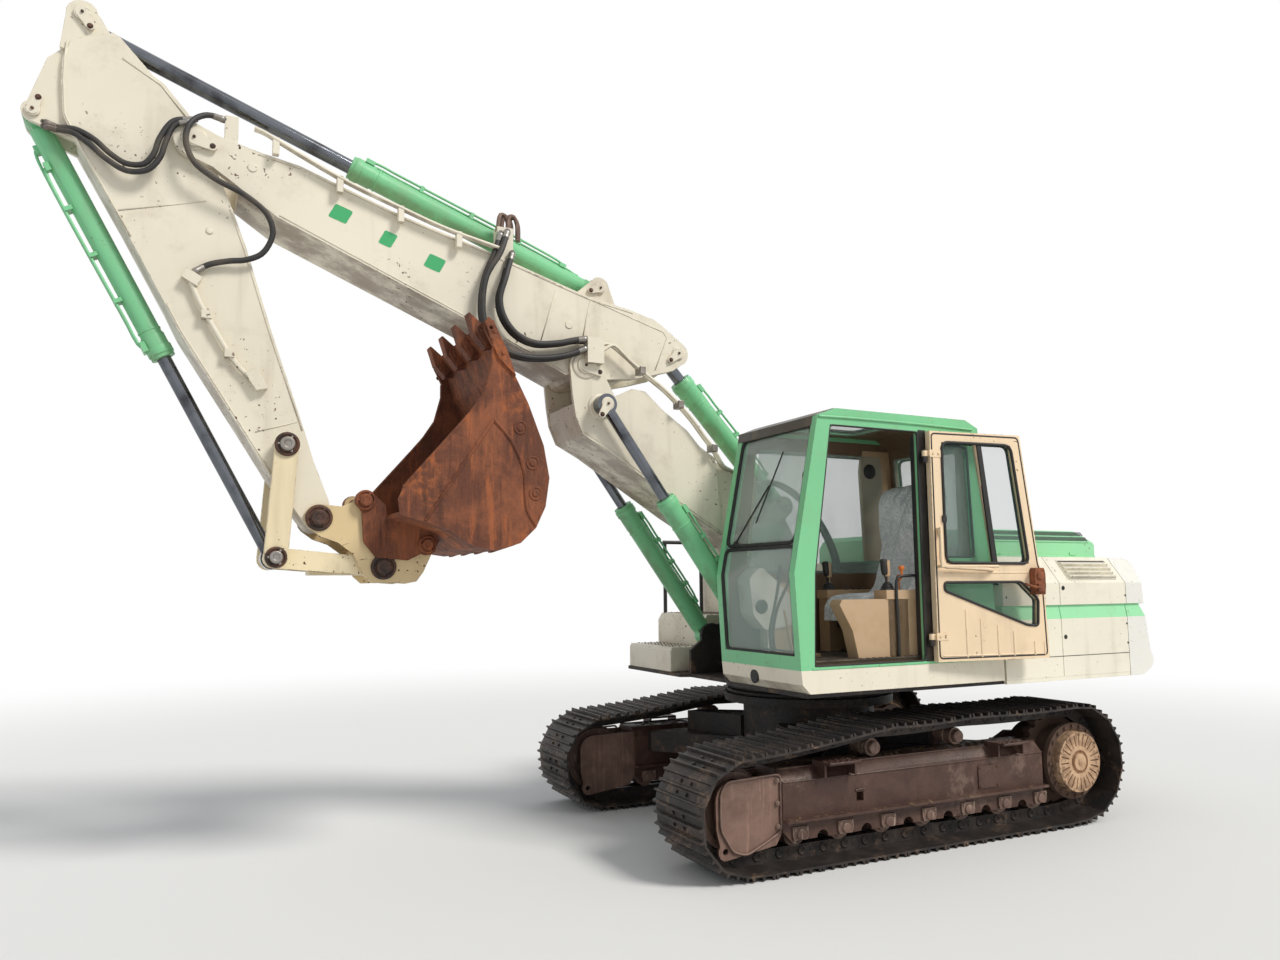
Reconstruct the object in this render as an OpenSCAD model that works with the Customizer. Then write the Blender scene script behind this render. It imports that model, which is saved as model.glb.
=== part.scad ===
/* [Tracks] */
// Distance between the centres of the two tracks
gauge = 2130; // [2050:10:2300]
// Width of a track shoe
shoe_w = 600; // [500:10:620]
// Number of shoes on each track
shoe_count = 46; // [42:1:50]
// Thickness of a shoe's plate
shoe_plate = 12; // [8:1:16]
// Height of a grouser bar above its plate
grouser_h = 26; // [16:1:34]
// Height of the front idler's axle above the ground
idler_z = 385; // [380:1:392]
// Distance of the front idler's axle ahead of the slew axis
idler_x = 1451; // [1430:1:1480]
// Distance of the drive wheel's axle behind the slew axis
drive_back = 1540; // [1520:1:1570]
// Height of the drive wheel's axle above the ground
drive_z = 455; // [450:1:460]
// Radius of the chain's pin line round the idler
idler_pin_r = 297; // [290:1:299]
// Radius of the chain's pin line round the drive wheel
drive_pin_r = 362; // [350:1:366]
// Radius of a lower roller's tread
roller_r = 76; // [60:1:77]
// Radius of a carrier roller's tread
carrier_r = 60; // [48:1:64]

/* [Track frames] */
// Width of a side frame's box
side_box_w = 360; // [320:5:400]
// Height of the side frame's flat top edge
side_box_top = 560; // [530:1:590]
// Radius of the tie-down eye in an idler guard
tie_eye_r = 20; // [14:1:26]
// Thickness of an idler guard plate
guard_plate = 22; // [14:1:30]

/* [Upper structure] */
// Half width of the upper structure, to the side panels
upper_half_w = 1353; // [1340:1:1365]
// Height of the deck's underside
deck_low_z = 1074; // [1068:1:1086]
// Height of the panels' upright part
shoulder_z = 1802; // [1780:1:1830]
// Height of the panels' top
panel_top_z = 2005; // [1990:1:2030]
// Radius of the counterweight's tail
tail_r = 2765; // [2740:1:2800]
// Distance of the counterweight's front behind the slew axis
weight_front = 2131; // [2110:1:2150]
// Radius of the slew ring
slew_r = 610; // [560:1:640]

/* [Cab] */
// Gap between the cab and the left boom cylinder
cab_clear = 12; // [8:1:30]
// Height of the cab's roof
cab_top_z = 2995; // [2970:1:3030]
// Thickness of the cab's walls
cab_wall = 45; // [35:1:55]
// Thickness of the window panes
pane = 6; // [4:1:8]
// Thickness of the door
door_t = 50; // [40:1:56]
// Gap round the closed door
door_gap = 9; // [7:1:12]

/* [Boom and stick] */
// Distance of the boom's centre plane to the right of the slew axis
boom_offset = 72; // [66:1:76]
// Half width of the upper boom's box
upper_boom_half = 235; // [225:1:238]
// Thickness of a base boom cheek
cheek_t = 30; // [22:1:32]
// Half width of the stick's box
stick_half = 165; // [150:1:170]
// Radius of the main pivot pins
main_pin_r = 45; // [38:1:50]
// Radius of the bucket linkage's pins
link_pin_r = 35; // [30:1:38]
// Radius of a cylinder's base pin
base_pin_r = 35; // [28:1:38]

/* [Bucket] */
// Half width of the bucket
bucket_half = 650; // [560:5:700]
// Thickness of the bucket's wrapper
bucket_skin = 22; // [16:1:28]
// Number of teeth
tooth_count = 4; // [3:1:5]
// Half distance between the coupler's plates, inside
coupler_half = 176; // [174:1:180]

/* [Cylinders] */
// Radius of a boom cylinder's barrel
boom_cyl_r = 72; // [60:1:74]
// Radius of the adjusting cylinder's barrel
adjust_cyl_r = 78; // [66:1:82]
// Radius of the stick cylinder's barrel
arm_cyl_r = 74; // [62:1:78]
// Radius of the bucket cylinder's barrel
bucket_cyl_r = 65; // [54:1:70]
// Distance of a boom cylinder from the boom's centre plane
boom_cyl_y = 360; // [358:1:364]

/* [Hidden] */
$fn = 48;

// Small working values
pin_clear = 0.5;
seat = 0.3;
face_gap = 6;
cream = [0.95, 0.92, 0.84];
mint = [0.62, 0.88, 0.68];
steel = [0.16, 0.16, 0.17];
black = [0.09, 0.09, 0.1];
rust = [0.44, 0.28, 0.2];
chrome = [0.82, 0.83, 0.85];
glass = [0.55, 0.65, 0.68, 0.4];

// Pivots in the boom's plane: distance ahead of the slew axis, height above the ground
foot_p = [170, 1860];
fold_p = [2051, 3399];
lug_p = [1257, 3578];
adjust_base_p = [200, 2440];
arm_base_p = [1878, 4034];
swing_p = [4673, 4592];
arm_eye_p = [5311, 5286];
bucket_base_p = [5537, 4634];
tip_p = [4069, 2708];
link_p = [4114, 2000];
nose_p = [3860, 2253];
hook_p = [3450, 1942];
boom_base_p = [700, 1400];
boom_eye_p = [1930, 3106];
bucket_pin_p = [3580, 2372];
hitch_p = [3175, 2089];

// Door hinge, the door's faces when it is closed, and its latch block
door_hinge_x = -45;
door_pin_y = upper_half_w + 32;
door_open = 173.5;
door_y0 = upper_half_w + door_gap;
door_y1 = door_y0 + door_t;
latch_x = 876;
latch_t = 28;

// Extents that place the origin at the middle of the footprint
front_x = bucket_base_p[0] + 62;
door_reach = door_pin_y + (latch_x - door_hinge_x) * sin(door_open)
    - (door_pin_y - door_y0 + latch_t) * cos(door_open);
origin_x = (front_x - tail_r) / 2;
origin_y = (door_reach - gauge / 2 - shoe_w / 2) / 2;

function unit(v) = v / norm(v);
function side_of(v) = [v[1], -v[0]];
// Points on an arc round c, from angle a0 to a1 in n steps
function arc(c, r, a0, a1, n = 8) =
    [for (i = [0 : n]) c + r * [cos(a0 + (a1 - a0) * i / n), sin(a0 + (a1 - a0) * i / n)]];
// The angle of b seen from a
function aim(a, b) = atan2(b[1] - a[1], b[0] - a[0]);

// Moves the slew axis' frame to the part's own origin
module placed() {
    translate([-origin_x, -origin_y, 0]) children();
}

// As placed, with y = 0 in the boom's plane
module in_boom_plane() {
    placed() translate([0, -boom_offset, 0]) children();
}

// A plate with its outline in x and z, from y0 to y1
module plate(points, y0, y1) {
    translate([0, y1, 0]) rotate([90, 0, 0]) linear_extrude(height = y1 - y0) polygon(points);
}

// The same plate on both sides of the plane
module plate_pair(points, y0, y1) {
    plate(points, y0, y1);
    plate(points, -y1, -y0);
}

// A round bar along y at p
module bar(p, r, y0, y1) {
    translate([p[0], y1, p[1]]) rotate([90, 0, 0]) cylinder(h = y1 - y0, r = r);
}

module bar_pair(p, r, y0, y1) {
    bar(p, r, y0, y1);
    bar(p, r, -y1, -y0);
}

// A box between two corners
module block(a, b) {
    translate(a) cube(b - a);
}

// Track path: the chain's pin line, as points with even steps round each wheel
link_h = 45;
link_low = 40;
ground_pin_z = grouser_h + shoe_plate + link_h;
carrier_x = [314, -456];
carrier_z = [690, 708];
lower_roller_x = [for (i = [0 : 6]) 1000 - 363 * i];
lower_roller_z = ground_pin_z + link_low + roller_r + seat;
idler_c = [idler_x, idler_z];
drive_c = [-drive_back, drive_z];
sag = 12;
carrier_lift = carrier_r + link_low + 6;
function span(a, b, drop, n = 6) =
    [for (i = [1 : n - 1]) a + (b - a) * i / n - [0, drop * 4 * i / n * (1 - i / n)]];
top_front = idler_c + idler_pin_r * [cos(97), sin(97)];
top_rear = drive_c + drive_pin_r * [cos(88), sin(88)];
over_0 = [carrier_x[0], carrier_z[0] + carrier_lift];
over_1 = [carrier_x[1], carrier_z[1] + carrier_lift];
path = concat(
    arc(idler_c, idler_pin_r, -90, 97, 22),
    span(top_front, over_0, sag), [over_0],
    span(over_0, over_1, sag), [over_1],
    span(over_1, top_rear, sag),
    arc(drive_c, drive_pin_r, 88, 270, 22),
    [[lower_roller_x[6] - 220, ground_pin_z], [lower_roller_x[0] + 220, ground_pin_z]]);
lengths = [for (i = 0, s = 0; i <= len(path);
    s = s + norm(path[(i + 1) % len(path)] - path[i % len(path)]), i = i + 1) s];
along_x = [for (i = [0 : len(path)]) [lengths[i], path[i % len(path)][0]]];
along_z = [for (i = [0 : len(path)]) [lengths[i], path[i % len(path)][1]]];
track_length = lengths[len(path)];
pins = [for (i = [0 : shoe_count - 1])
    [lookup(i * track_length / shoe_count, along_x), lookup(i * track_length / shoe_count, along_z)]];
function pin(i) = pins[(i + shoe_count) % shoe_count];
// A shoe's outline, as a share of the pitch along it and the height over its plate's foot
shoe_profile = [[0.02, 0], [0.04, 1], [0.09, 1], [0.15, 0.04], [0.42, 0], [0.46, 0.92], [0.53, 0.92],
    [0.57, 0], [0.84, 0.04], [0.88, 0.92], [0.95, 0.92], [0.985, 0]];
function shoe_point(i, p) =
    let (a = pin(i), b = pin(i + 1), u = b - a, n = unit(side_of(u)))
    a + u * p[0] + n * (link_h + shoe_plate + grouser_h * p[1]);
function pin_side(i) = unit(side_of(pin(i + 1) - pin(i - 1)));
shoe_ring = [for (i = [0 : shoe_count - 1], p = shoe_profile) shoe_point(i, p)];
plate_ring = [for (i = [0 : shoe_count - 1]) pin(i) + pin_side(i) * link_h];
link_ring = [for (i = [0 : shoe_count - 1]) pin(i) - pin_side(i) * link_low];
link_outer = [for (i = [0 : shoe_count - 1]) pin(i) + pin_side(i) * (link_h + shoe_plate / 2)];
link_y0 = 42;
link_y1 = 82;

module track() {
    y = gauge / 2;
    difference() {
        plate(shoe_ring, y - shoe_w / 2, y + shoe_w / 2);
        plate(plate_ring, y - shoe_w / 2 - 1, y + shoe_w / 2 + 1);
    }
    for (s = [-1, 1]) difference() {
        plate(link_outer, y + s * (link_y0 + link_y1) / 2 - (link_y1 - link_y0) / 2,
            y + s * (link_y0 + link_y1) / 2 + (link_y1 - link_y0) / 2);
        plate(link_ring, y + s * (link_y0 + link_y1) / 2 - (link_y1 - link_y0) / 2 - 1,
            y + s * (link_y0 + link_y1) / 2 + (link_y1 - link_y0) / 2 + 1);
    }
}

// The idler turns on a bar that the track frame's guards carry
idler_tread_r = idler_pin_r - link_low - 15;
axle_r = 45;
module idler() {
    y = gauge / 2;
    difference() {
        union() {
            bar(idler_c, idler_tread_r, y - link_y1, y + link_y1);
            bar(idler_c, idler_tread_r + 24, y - link_y0 + 8, y + link_y0 - 8);
            bar(idler_c, 90, y - link_y1 - 18, y + link_y1 + 18);
        }
        for (s = [-1, 1]) translate([idler_x, y + s * (link_y1 + 1), idler_z]) rotate([90, 0, 0])
            rotate_extrude() translate([110, -30]) square([idler_tread_r - 150, 60]);
        bar(idler_c, axle_r + pin_clear, y - 200, y + 200);
    }
}

// The drive wheel: a toothed ring, a drum and a slotted cover disc
tooth_n = 23;
disc_r = 222;
drum_r = 258;
module drive() {
    y = gauge / 2;
    root_r = drive_pin_r - 34;
    tip_r = drive_pin_r - 6;
    step = 360 / tooth_n;
    teeth = [for (i = [0 : tooth_n - 1]) each [
        drive_c + root_r * [cos(step * i), sin(step * i)],
        drive_c + root_r * [cos(step * (i + 0.28)), sin(step * (i + 0.28))],
        drive_c + tip_r * [cos(step * (i + 0.44)), sin(step * (i + 0.44))],
        drive_c + tip_r * [cos(step * (i + 0.74)), sin(step * (i + 0.74))]]];
    plate(teeth, y - 30, y + 30);
    bar(drive_c, drum_r, y - 232 + seat, y + 150);
    difference() {
        bar(drive_c, drum_r + 24, y + 149, y + 190);
        bar(drive_c, disc_r + 12, y + 172, y + 191);
    }
    difference() {
        bar(drive_c, disc_r, y + 171, y + 250);
        for (a = [0 : 15 : 345]) translate([drive_c[0], y + 250, drive_c[1]]) rotate([0, a, 0])
            translate([118, -16, -5]) cube([86, 17, 10]);
        bar(drive_c, 88, y + 226, y + 251);
    }
    bar(drive_c, 62, y + 225, y + 256);
}

// Lower and carrier rollers, on bars that run into the frame's walls
roller_inner = 150;
module rollers() {
    y = gauge / 2;
    for (x = lower_roller_x) {
        bar([x, lower_roller_z], roller_r, y - link_y1 - 20, y - link_y0 + 12);
        bar([x, lower_roller_z], roller_r, y + link_y0 - 12, y + link_y1 + 20);
        bar([x, lower_roller_z], roller_r - 20, y - roller_inner + 12, y + roller_inner - 12);
        bar([x, lower_roller_z], 24, y - roller_inner + seat, y + roller_inner - seat);
    }
    for (i = [0, 1]) {
        bar([carrier_x[i], carrier_z[i]], carrier_r, y - link_y1, y + link_y1);
        bar([carrier_x[i], carrier_z[i]], carrier_r - 16, y - link_y1 - 25, y + link_y1 + 25);
    }
}

// Side frame: a box with sloped shoulders, roller skirts, idler guards, drive bracket and steps
skirt_low_z = 175;
frame_front_x = 1130;
frame_rear_x = -1215;
module track_frame() {
    y = gauge / 2;
    w = side_box_w / 2;
    low = 299;
    // Box with inward-sloping shoulders
    difference() {
        translate([frame_rear_x, y, 0]) rotate([90, 0, 90])
            linear_extrude(height = frame_front_x - frame_rear_x)
            polygon([[-w - 55, low], [w + 55, low], [w + 55, low + 16], [w, low + 16],
                [w, side_box_top - 16],
                [w - 70, side_box_top + 60], [-w + 70, side_box_top + 60], [-w, side_box_top - 16],
                [-w, low + 16], [-w - 55, low + 16]]);
        block([480, y + w - 60, 370], [540, y + w + 60, 430]);
        // Room for the drive wheel's teeth
        block([frame_rear_x - 1, y - 60, low - 1],
            [-drive_back + drive_pin_r + 20, y + 60, side_box_top + 61]);
    }
    // Skirts that hold the lower rollers
    for (s = [-1, 1]) difference() {
        plate([[frame_rear_x, low + 1], [frame_rear_x, 250], [-1130, skirt_low_z],
            [frame_front_x - 60, skirt_low_z], [frame_front_x, 240], [frame_front_x, low + 1]],
            y + s * (roller_inner + 11) - 11, y + s * (roller_inner + 11) + 11);
        for (x = lower_roller_x) bar([x + 181, skirt_low_z], 45, y + s * 161 - 30, y + s * 161 + 30);
    }
    // Idler guards: two plates with round ends, on both sides of the idler
    for (s = [-1, 1]) {
        g0 = link_y1 + 50;
        y0 = s > 0 ? y + g0 : y - g0 - guard_plate;
        difference() {
            plate(concat([[frame_front_x - 20, 250], [frame_front_x + 40, 160]],
                [[1470, 120]], arc([1545, 165], 55, -100, 40, 5), [[1612, 300]],
                arc([1500, 470], 115, 0, 90, 6), [[frame_front_x - 20, 585]]), y0, y0 + guard_plate);
            bar([1548, 165], tie_eye_r, y0 - 1, y0 + guard_plate + 1);
        }
        // Rim round the idler's axle
        bar(idler_c, 130, s > 0 ? y0 - 12 : y0 + guard_plate - 1, s > 0 ? y0 + 1 : y0 + guard_plate + 12);
    }
    bar(idler_c, axle_r, y - link_y1 - 51, y + link_y1 + 51);
    block([frame_front_x - 1, y - link_y1 - 51, 300], [frame_front_x + 24, y + link_y1 + 51, 560]);
    // Drive bracket behind the box: an arm to the drum
    difference() {
        plate(concat([[frame_rear_x + 1, low], [frame_rear_x + 1, 590], [-1330, 640]],
            arc(drive_c, 205, 60, 300, 12), [[-1330, 300]]), y - 290, y - 232);
        bar(drive_c, 60, y - 291, y - 231);
    }
    plate([[frame_rear_x + 40, low], [frame_rear_x + 40, 590], [frame_rear_x - 60, 590],
        [frame_rear_x - 60, low]],
        y - 291, y - 120);
    // Carrier roller posts
    for (i = [0, 1]) block([carrier_x[i] - 28, y - link_y1 - 52, side_box_top + 40],
        [carrier_x[i] + 28, y - link_y1 - 26, carrier_z[i] + 40]);
    for (i = [0, 1]) bar([carrier_x[i], carrier_z[i]], 26, y - link_y1 - 27, y - link_y1 - 25.3);
    // Steps on the outside
    for (x0 = [580, -970]) {
        x1 = x0 + 260;
        block([x0, y + w - 75, 640], [x1, y + 290, 656]);
        block([x0, y + w - 75, side_box_top], [x0 + 14, y + w + 60, 641]);
        block([x1 - 14, y + w - 75, side_box_top], [x1, y + w + 60, 641]);
    }
}

// Centre frame: ring table on a box with four legs
ring_z = 1012;
module car_body() {
    color(steel) placed() {
        inner = gauge / 2 - side_box_w / 2 - seat;
        difference() {
            union() {
                translate([0, 0, 420]) cylinder(h = 500, r = 520);
                translate([0, 0, 890]) cylinder(h = 60, r = slew_r + 60);
                for (sx = [0, 1], sy = [0, 1]) mirror([sx, 0, 0]) mirror([0, sy, 0]) leg(inner);
            }
            translate([0, 0, 400]) cylinder(h = 700, r = 300);
        }
        difference() {
            translate([0, 0, 949]) cylinder(h = ring_z - seat - 949, r = slew_r);
            translate([0, 0, 940]) cylinder(h = 80, r = slew_r - 110);
        }
    }
}

module leg(inner) {
    translate([0, 0, 430]) linear_extrude(height = 160)
        polygon([[180, 300], [520, 250], [1010, inner - 60], [1010, inner], [560, inner], [180, 480]]);
    translate([0, 0, 589]) linear_extrude(height = 165)
        polygon([[200, 300], [480, 260], [700, inner - 140], [560, inner - 125], [200, 470]]);
}

// Upper deck: floor, boom towers, cylinder brackets and the ring's upper half
tower_in = 250;
tower_t = 32;
tower_rear = -1290;
deck_top_z = deck_low_z + 28;
module upper_frame() {
    color(steel) placed() {
        difference() {
            translate([0, 0, ring_z]) cylinder(h = deck_low_z - ring_z + 1, r = slew_r + 40);
            translate([0, 0, 1000]) cylinder(h = 120, r = slew_r - 150);
        }
        translate([0, 0, deck_low_z]) linear_extrude(height = 28)
            polygon([[-weight_front + seat, -upper_half_w + 40], [980, -upper_half_w + 40], [980, -370],
                [900, -330], [900, 300], [980, 340], [980, upper_half_w - 30],
                [-weight_front + seat, upper_half_w - 40]]);
    }
    color(steel) in_boom_plane() {
        difference() {
            plate_pair(concat([[tower_rear, deck_top_z - 1], [900, deck_top_z - 1], [900, 1290]],
                arc(boom_base_p, 100, -20, 120, 6), [[480, 1560]], arc(foot_p, 130, 30, 160, 8),
                [[-360, 1560], [-900, 1380], [tower_rear, 1300]]),
                tower_in, tower_in + tower_t);
            bar(boom_base_p, base_pin_r - 5, -400, 400);
        }
        block([tower_rear + 20, -tower_in - 1, deck_top_z - 1], [tower_rear + 50, tower_in + 1, 1290]);
        block([540, -tower_in - 1, deck_top_z - 1], [570, tower_in + 1, 1380]);
        bar(foot_p, main_pin_r, -tower_in - tower_t - 24, tower_in + tower_t + 24);
        // Control valve behind the boom's foot
        block([-420, -170, deck_top_z - 1], [-110, 190, 1610]);
        // The boom cylinders' base pins stick out sideways
        bar_pair(boom_base_p, base_pin_r, tower_in - 1, boom_cyl_y + 52);
    }
}

// Side faces of the panels and the counterweight: the stripe is set in at its top edge,
// and the face leans in above the shoulder
stripe_z = [1533, 1637];
stripe_in = 18;
panel_top_y = 1200;
side_line = [[upper_half_w, stripe_z[0]], [upper_half_w - stripe_in, stripe_z[1] - 4],
    [upper_half_w, stripe_z[1]], [upper_half_w, shoulder_z], [panel_top_y, panel_top_z]];

// Counterweight: a round tail whose upper part steps in over the stripe
weight_top = 1998;
pocket_x = (-tail_r - weight_front) / 2 + 30;
tail_line = [[0, deck_low_z], [tail_r - 110, deck_low_z], [tail_r - 35, deck_low_z + 43],
    [tail_r, deck_low_z + 90], [tail_r, deck_low_z + 130], [tail_r - 24, deck_low_z + 196],
    [tail_r - 58, stripe_z[0]], [tail_r - 112, stripe_z[1] - 6], [tail_r - 66, stripe_z[1]],
    [tail_r - 78, shoulder_z], [tail_r - 92, weight_top - 34], [tail_r - 118, weight_top - 9],
    [tail_r - 165, weight_top], [0, weight_top]];
module counterweight() {
    left = concat([[upper_half_w, deck_low_z]], side_line);
    right = [for (i = [len(left) - 1 : -1 : 0]) [-left[i][0], left[i][1]]];
    color(cream) placed() {
        difference() {
            intersection() {
                rotate_extrude($fn = 96) polygon(tail_line);
                translate([-tail_r - 10, 0, 0]) rotate([90, 0, 90])
                    linear_extrude(height = tail_r + 10 - weight_front) polygon(concat(left, right));
            }
            // Lifting pockets
            for (s = [-1, 1]) block([pocket_x - 60, s * 700 - 60, weight_top - 148],
                [pocket_x + 60, s * 700 + 60, weight_top + 100]);
        }
        for (s = [-1, 1]) bar([pocket_x, weight_top - 118], 18, s * 700 - 61, s * 700 + 61);
    }
}

// Side panels: a hollow skin, upright below the shoulder and leaning in above it
panel_t = 30;
panel_front = -778;
module panel_skin(x0, x1) {
    translate([x0, 0, 0]) rotate([90, 0, 90]) linear_extrude(height = x1 - x0)
        polygon(concat([[upper_half_w, deck_top_z + seat]], side_line,
            [[panel_top_y - 240, panel_top_z], [panel_top_y - 240, panel_top_z - panel_t],
            [panel_top_y - 12, panel_top_z - panel_t],
            [upper_half_w - panel_t, shoulder_z - 10], [upper_half_w - panel_t, deck_top_z + seat]]));
}

module side_panels_left() {
    color(cream) placed() {
        seams = [panel_front, -1377, -weight_front + 4];
        difference() {
            for (i = [0, 1]) panel_skin(seams[i + 1] + 3, seams[i] - (i == 1 ? 3 : 0));
            // Louvre in the sloping part
            for (k = [0 : 3]) translate([0, 0, 1844 + 32 * k]) block([-2040, 1150, 0], [-1520, 1400, 18]);
        }
        // Skirt below the cab and the deck's edge
        block([-weight_front + 4, upper_half_w - 32, deck_low_z],
            [panel_front, upper_half_w - 2, deck_top_z + 3]);
        translate([-1376, 0, 0]) block([-4, upper_half_w - 60, deck_top_z + 3],
            [4, upper_half_w - 29, 1790]);
        // Bulkhead behind the cab
        block([panel_front - 30, 430, deck_top_z + seat], [panel_front - 2, upper_half_w - 29, 1790]);
        // Floor strip that carries the panels
        block([-weight_front + 8, upper_half_w - 90, deck_top_z + seat],
            [panel_front, upper_half_w - 29, deck_top_z + 30]);
    }
}

module side_panels_right() {
    color(cream) placed() mirror([0, 1, 0]) {
        seams = [-560, -1377, -weight_front + 4];
        difference() {
            for (i = [0, 1]) panel_skin(seams[i + 1] + 3, seams[i] - (i == 1 ? 3 : 0));
            for (k = [0 : 9]) translate([-1300 + 53 * k, 0, 0])
                block([0, upper_half_w - 60, 1250], [30, upper_half_w + 10, 1500]);
        }
        block([-weight_front + 4, upper_half_w - 32, deck_low_z],
            [-560, upper_half_w - 2, deck_top_z + 3]);
        block([-1380, upper_half_w - 60, deck_top_z + 3], [-1372, upper_half_w - 29, 1790]);
        block([-weight_front + 8, upper_half_w - 90, deck_top_z + seat],
            [-560, upper_half_w - 29, deck_top_z + 30]);
    }
}

// Engine: one plain block on the deck
module engine_block() {
    color(steel) placed()
        block([-2020, -620, deck_top_z + seat], [-1330, 700, 1900]);
}

// Hood over the engine: a shell with a punched top
hood_x = [-2270, -900];
hood_y = [-980, 980];
hood_low = panel_top_z + seat;
hood_high = 2235;
hood_slope = 95;
// The hood's outside, or its inside when drawn in by w: ends and long sides slope at the top
module hood_form(w) {
    low = hood_low - min(w, 1);
    intersection() {
        plate([[hood_x[0] + w, low], [hood_x[0] + w, 2120 - w / 2], [hood_x[0] + 130 + w / 2, hood_high - w],
            [hood_x[1] - 30 - w / 2, hood_high - w],
            [hood_x[1] - w, hood_high - 40 - w / 2], [hood_x[1] - w, low]], hood_y[0], hood_y[1]);
        translate([hood_x[0], 0, 0]) rotate([90, 0, 90]) linear_extrude(height = hood_x[1] - hood_x[0])
            polygon([[hood_y[0] + w, low], [hood_y[1] - w, low],
                [hood_y[1] - w, hood_high - hood_slope - w / 2],
                [hood_y[1] - hood_slope - w / 2, hood_high - w],
                [hood_y[0] + hood_slope + w / 2, hood_high - w],
                [hood_y[0] + w, hood_high - hood_slope - w / 2]]);
    }
}

module engine_hood() {
    color(mint) placed() difference() {
        hood_form(0);
        hood_form(26);
    }
}

// Cab: walls, roof and floor as one hollow shell with its windows cut
gland_lip = 9;
cab_right_y = boom_cyl_y - boom_offset + boom_cyl_r + gland_lip + cab_clear;
sill_z = 1253;
cab_front_low = 1040;
// The front stands nearly upright up to its knee and leans back above it
knee_z = 1880;
knee_x = cab_front_low + 35;
eave_z = cab_top_z - 55;
window_top_z = cab_top_z - 115;
front_lean = 0.208;
function front_x_at(z) = z < knee_z
    ? cab_front_low + (knee_x - cab_front_low) * (z - sill_z) / (knee_z - sill_z)
    : knee_x - front_lean * (z - knee_z);
cab_rear_low = -720;
cab_rear_high = -600;
function rear_x_at(z) = cab_rear_low + (cab_rear_high - cab_rear_low) * (z - sill_z) / (eave_z - sill_z);
// Inner face of the rear wall
function rear_in_x(z) =
    let (low = sill_z - 1 + cab_wall, high = eave_z - cab_wall)
    cab_rear_low + cab_wall + (cab_rear_high - cab_rear_low) * (z - low) / (high - low);
// The doorway: front edge follows the pillar, rear edge is upright at the hinge
doorway = [[door_hinge_x + 24, sill_z + 20], [932, sill_z + 20], [910, knee_z], [752, window_top_z],
    [door_hinge_x + 24, window_top_z]];

module cab_outline(y0, y1, w = 0) {
    plate([[rear_x_at(sill_z) + w, sill_z - 1 + w], [front_x_at(sill_z) - w, sill_z - 1 + w],
        [knee_x - w, knee_z], [front_x_at(eave_z) - w, eave_z - w], [700 - w, cab_top_z - w * 0.6],
        [-480 + w, cab_top_z - w * 0.6], [rear_x_at(eave_z) + w, eave_z - w]], y0, y1);
}

module cab_shell() {
    color(cream) placed() {
        difference() {
            cab_outline(cab_right_y, upper_half_w);
            cab_outline(cab_right_y + cab_wall, upper_half_w - cab_wall, cab_wall);
            // Doorway
            plate(doorway, upper_half_w - cab_wall - 20, upper_half_w + 1);
            // Left rear side window
            plate([[-520, 1990], [door_hinge_x - 60, 1990], [door_hinge_x - 60, window_top_z - 80],
                [-490, window_top_z - 80]],
                upper_half_w - cab_wall - 1, upper_half_w + 1);
            // Right side window
            plate([[-500, 1900], [850, 1900], [730, window_top_z - 60], [-460, window_top_z - 60]],
                cab_right_y - 1, cab_right_y + cab_wall + 1);
            // Front opening, from the sill to the roof
            plate([[700, sill_z + 90], [knee_x + 60, sill_z + 90], [knee_x + 60, knee_z],
                [920, window_top_z], [600, window_top_z]],
                cab_right_y + 60, upper_half_w - 60);
            // Rear window
            block([-900, cab_right_y + 110, 2080], [-500, upper_half_w - 110, window_top_z - 80]);
            // Roof hatch
            block([-100, cab_right_y + 180, cab_top_z - 95], [560, upper_half_w - 180, cab_top_z + 105]);
        }
        // Skirt below the sill with its chamfered lower edge
        difference() {
            plate([[panel_front + 20, sill_z - 1], [panel_front + 20, deck_top_z + seat],
                [cab_front_low - 70, deck_top_z + seat],
                [cab_front_low - 10, deck_top_z + 60], [cab_front_low, sill_z - 1]],
                cab_right_y, upper_half_w);
            plate([[panel_front + 60, sill_z - 30], [panel_front + 60, deck_top_z],
                [cab_front_low - 100, deck_top_z], [cab_front_low - 45, deck_top_z + 70],
                [cab_front_low - 40, sill_z - 30]], cab_right_y + 40, upper_half_w - 40);
            translate([cab_front_low - 130, 800, 1180]) rotate([0, 90, 0]) cylinder(h = 200, r = 38);
        }
        translate([cab_front_low - 65, 800, 1180]) rotate([0, 90, 0]) cylinder(h = 42, r = 36);
        block([cab_front_low - 70, 745, 1130], [cab_front_low - 62, 855, 1230]);
        // Hinge blocks that carry the door
        for (z = [1420, 2700]) {
            block([door_hinge_x - 20, upper_half_w - 1, z - 45],
                [door_hinge_x + 6, door_pin_y - 10, z - 3]);
            translate([door_hinge_x, door_pin_y, z - 45]) cylinder(h = 42, r = 17);
            translate([door_hinge_x, door_pin_y, z - 10]) cylinder(h = 60, r = 8);
        }
    }
}

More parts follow.
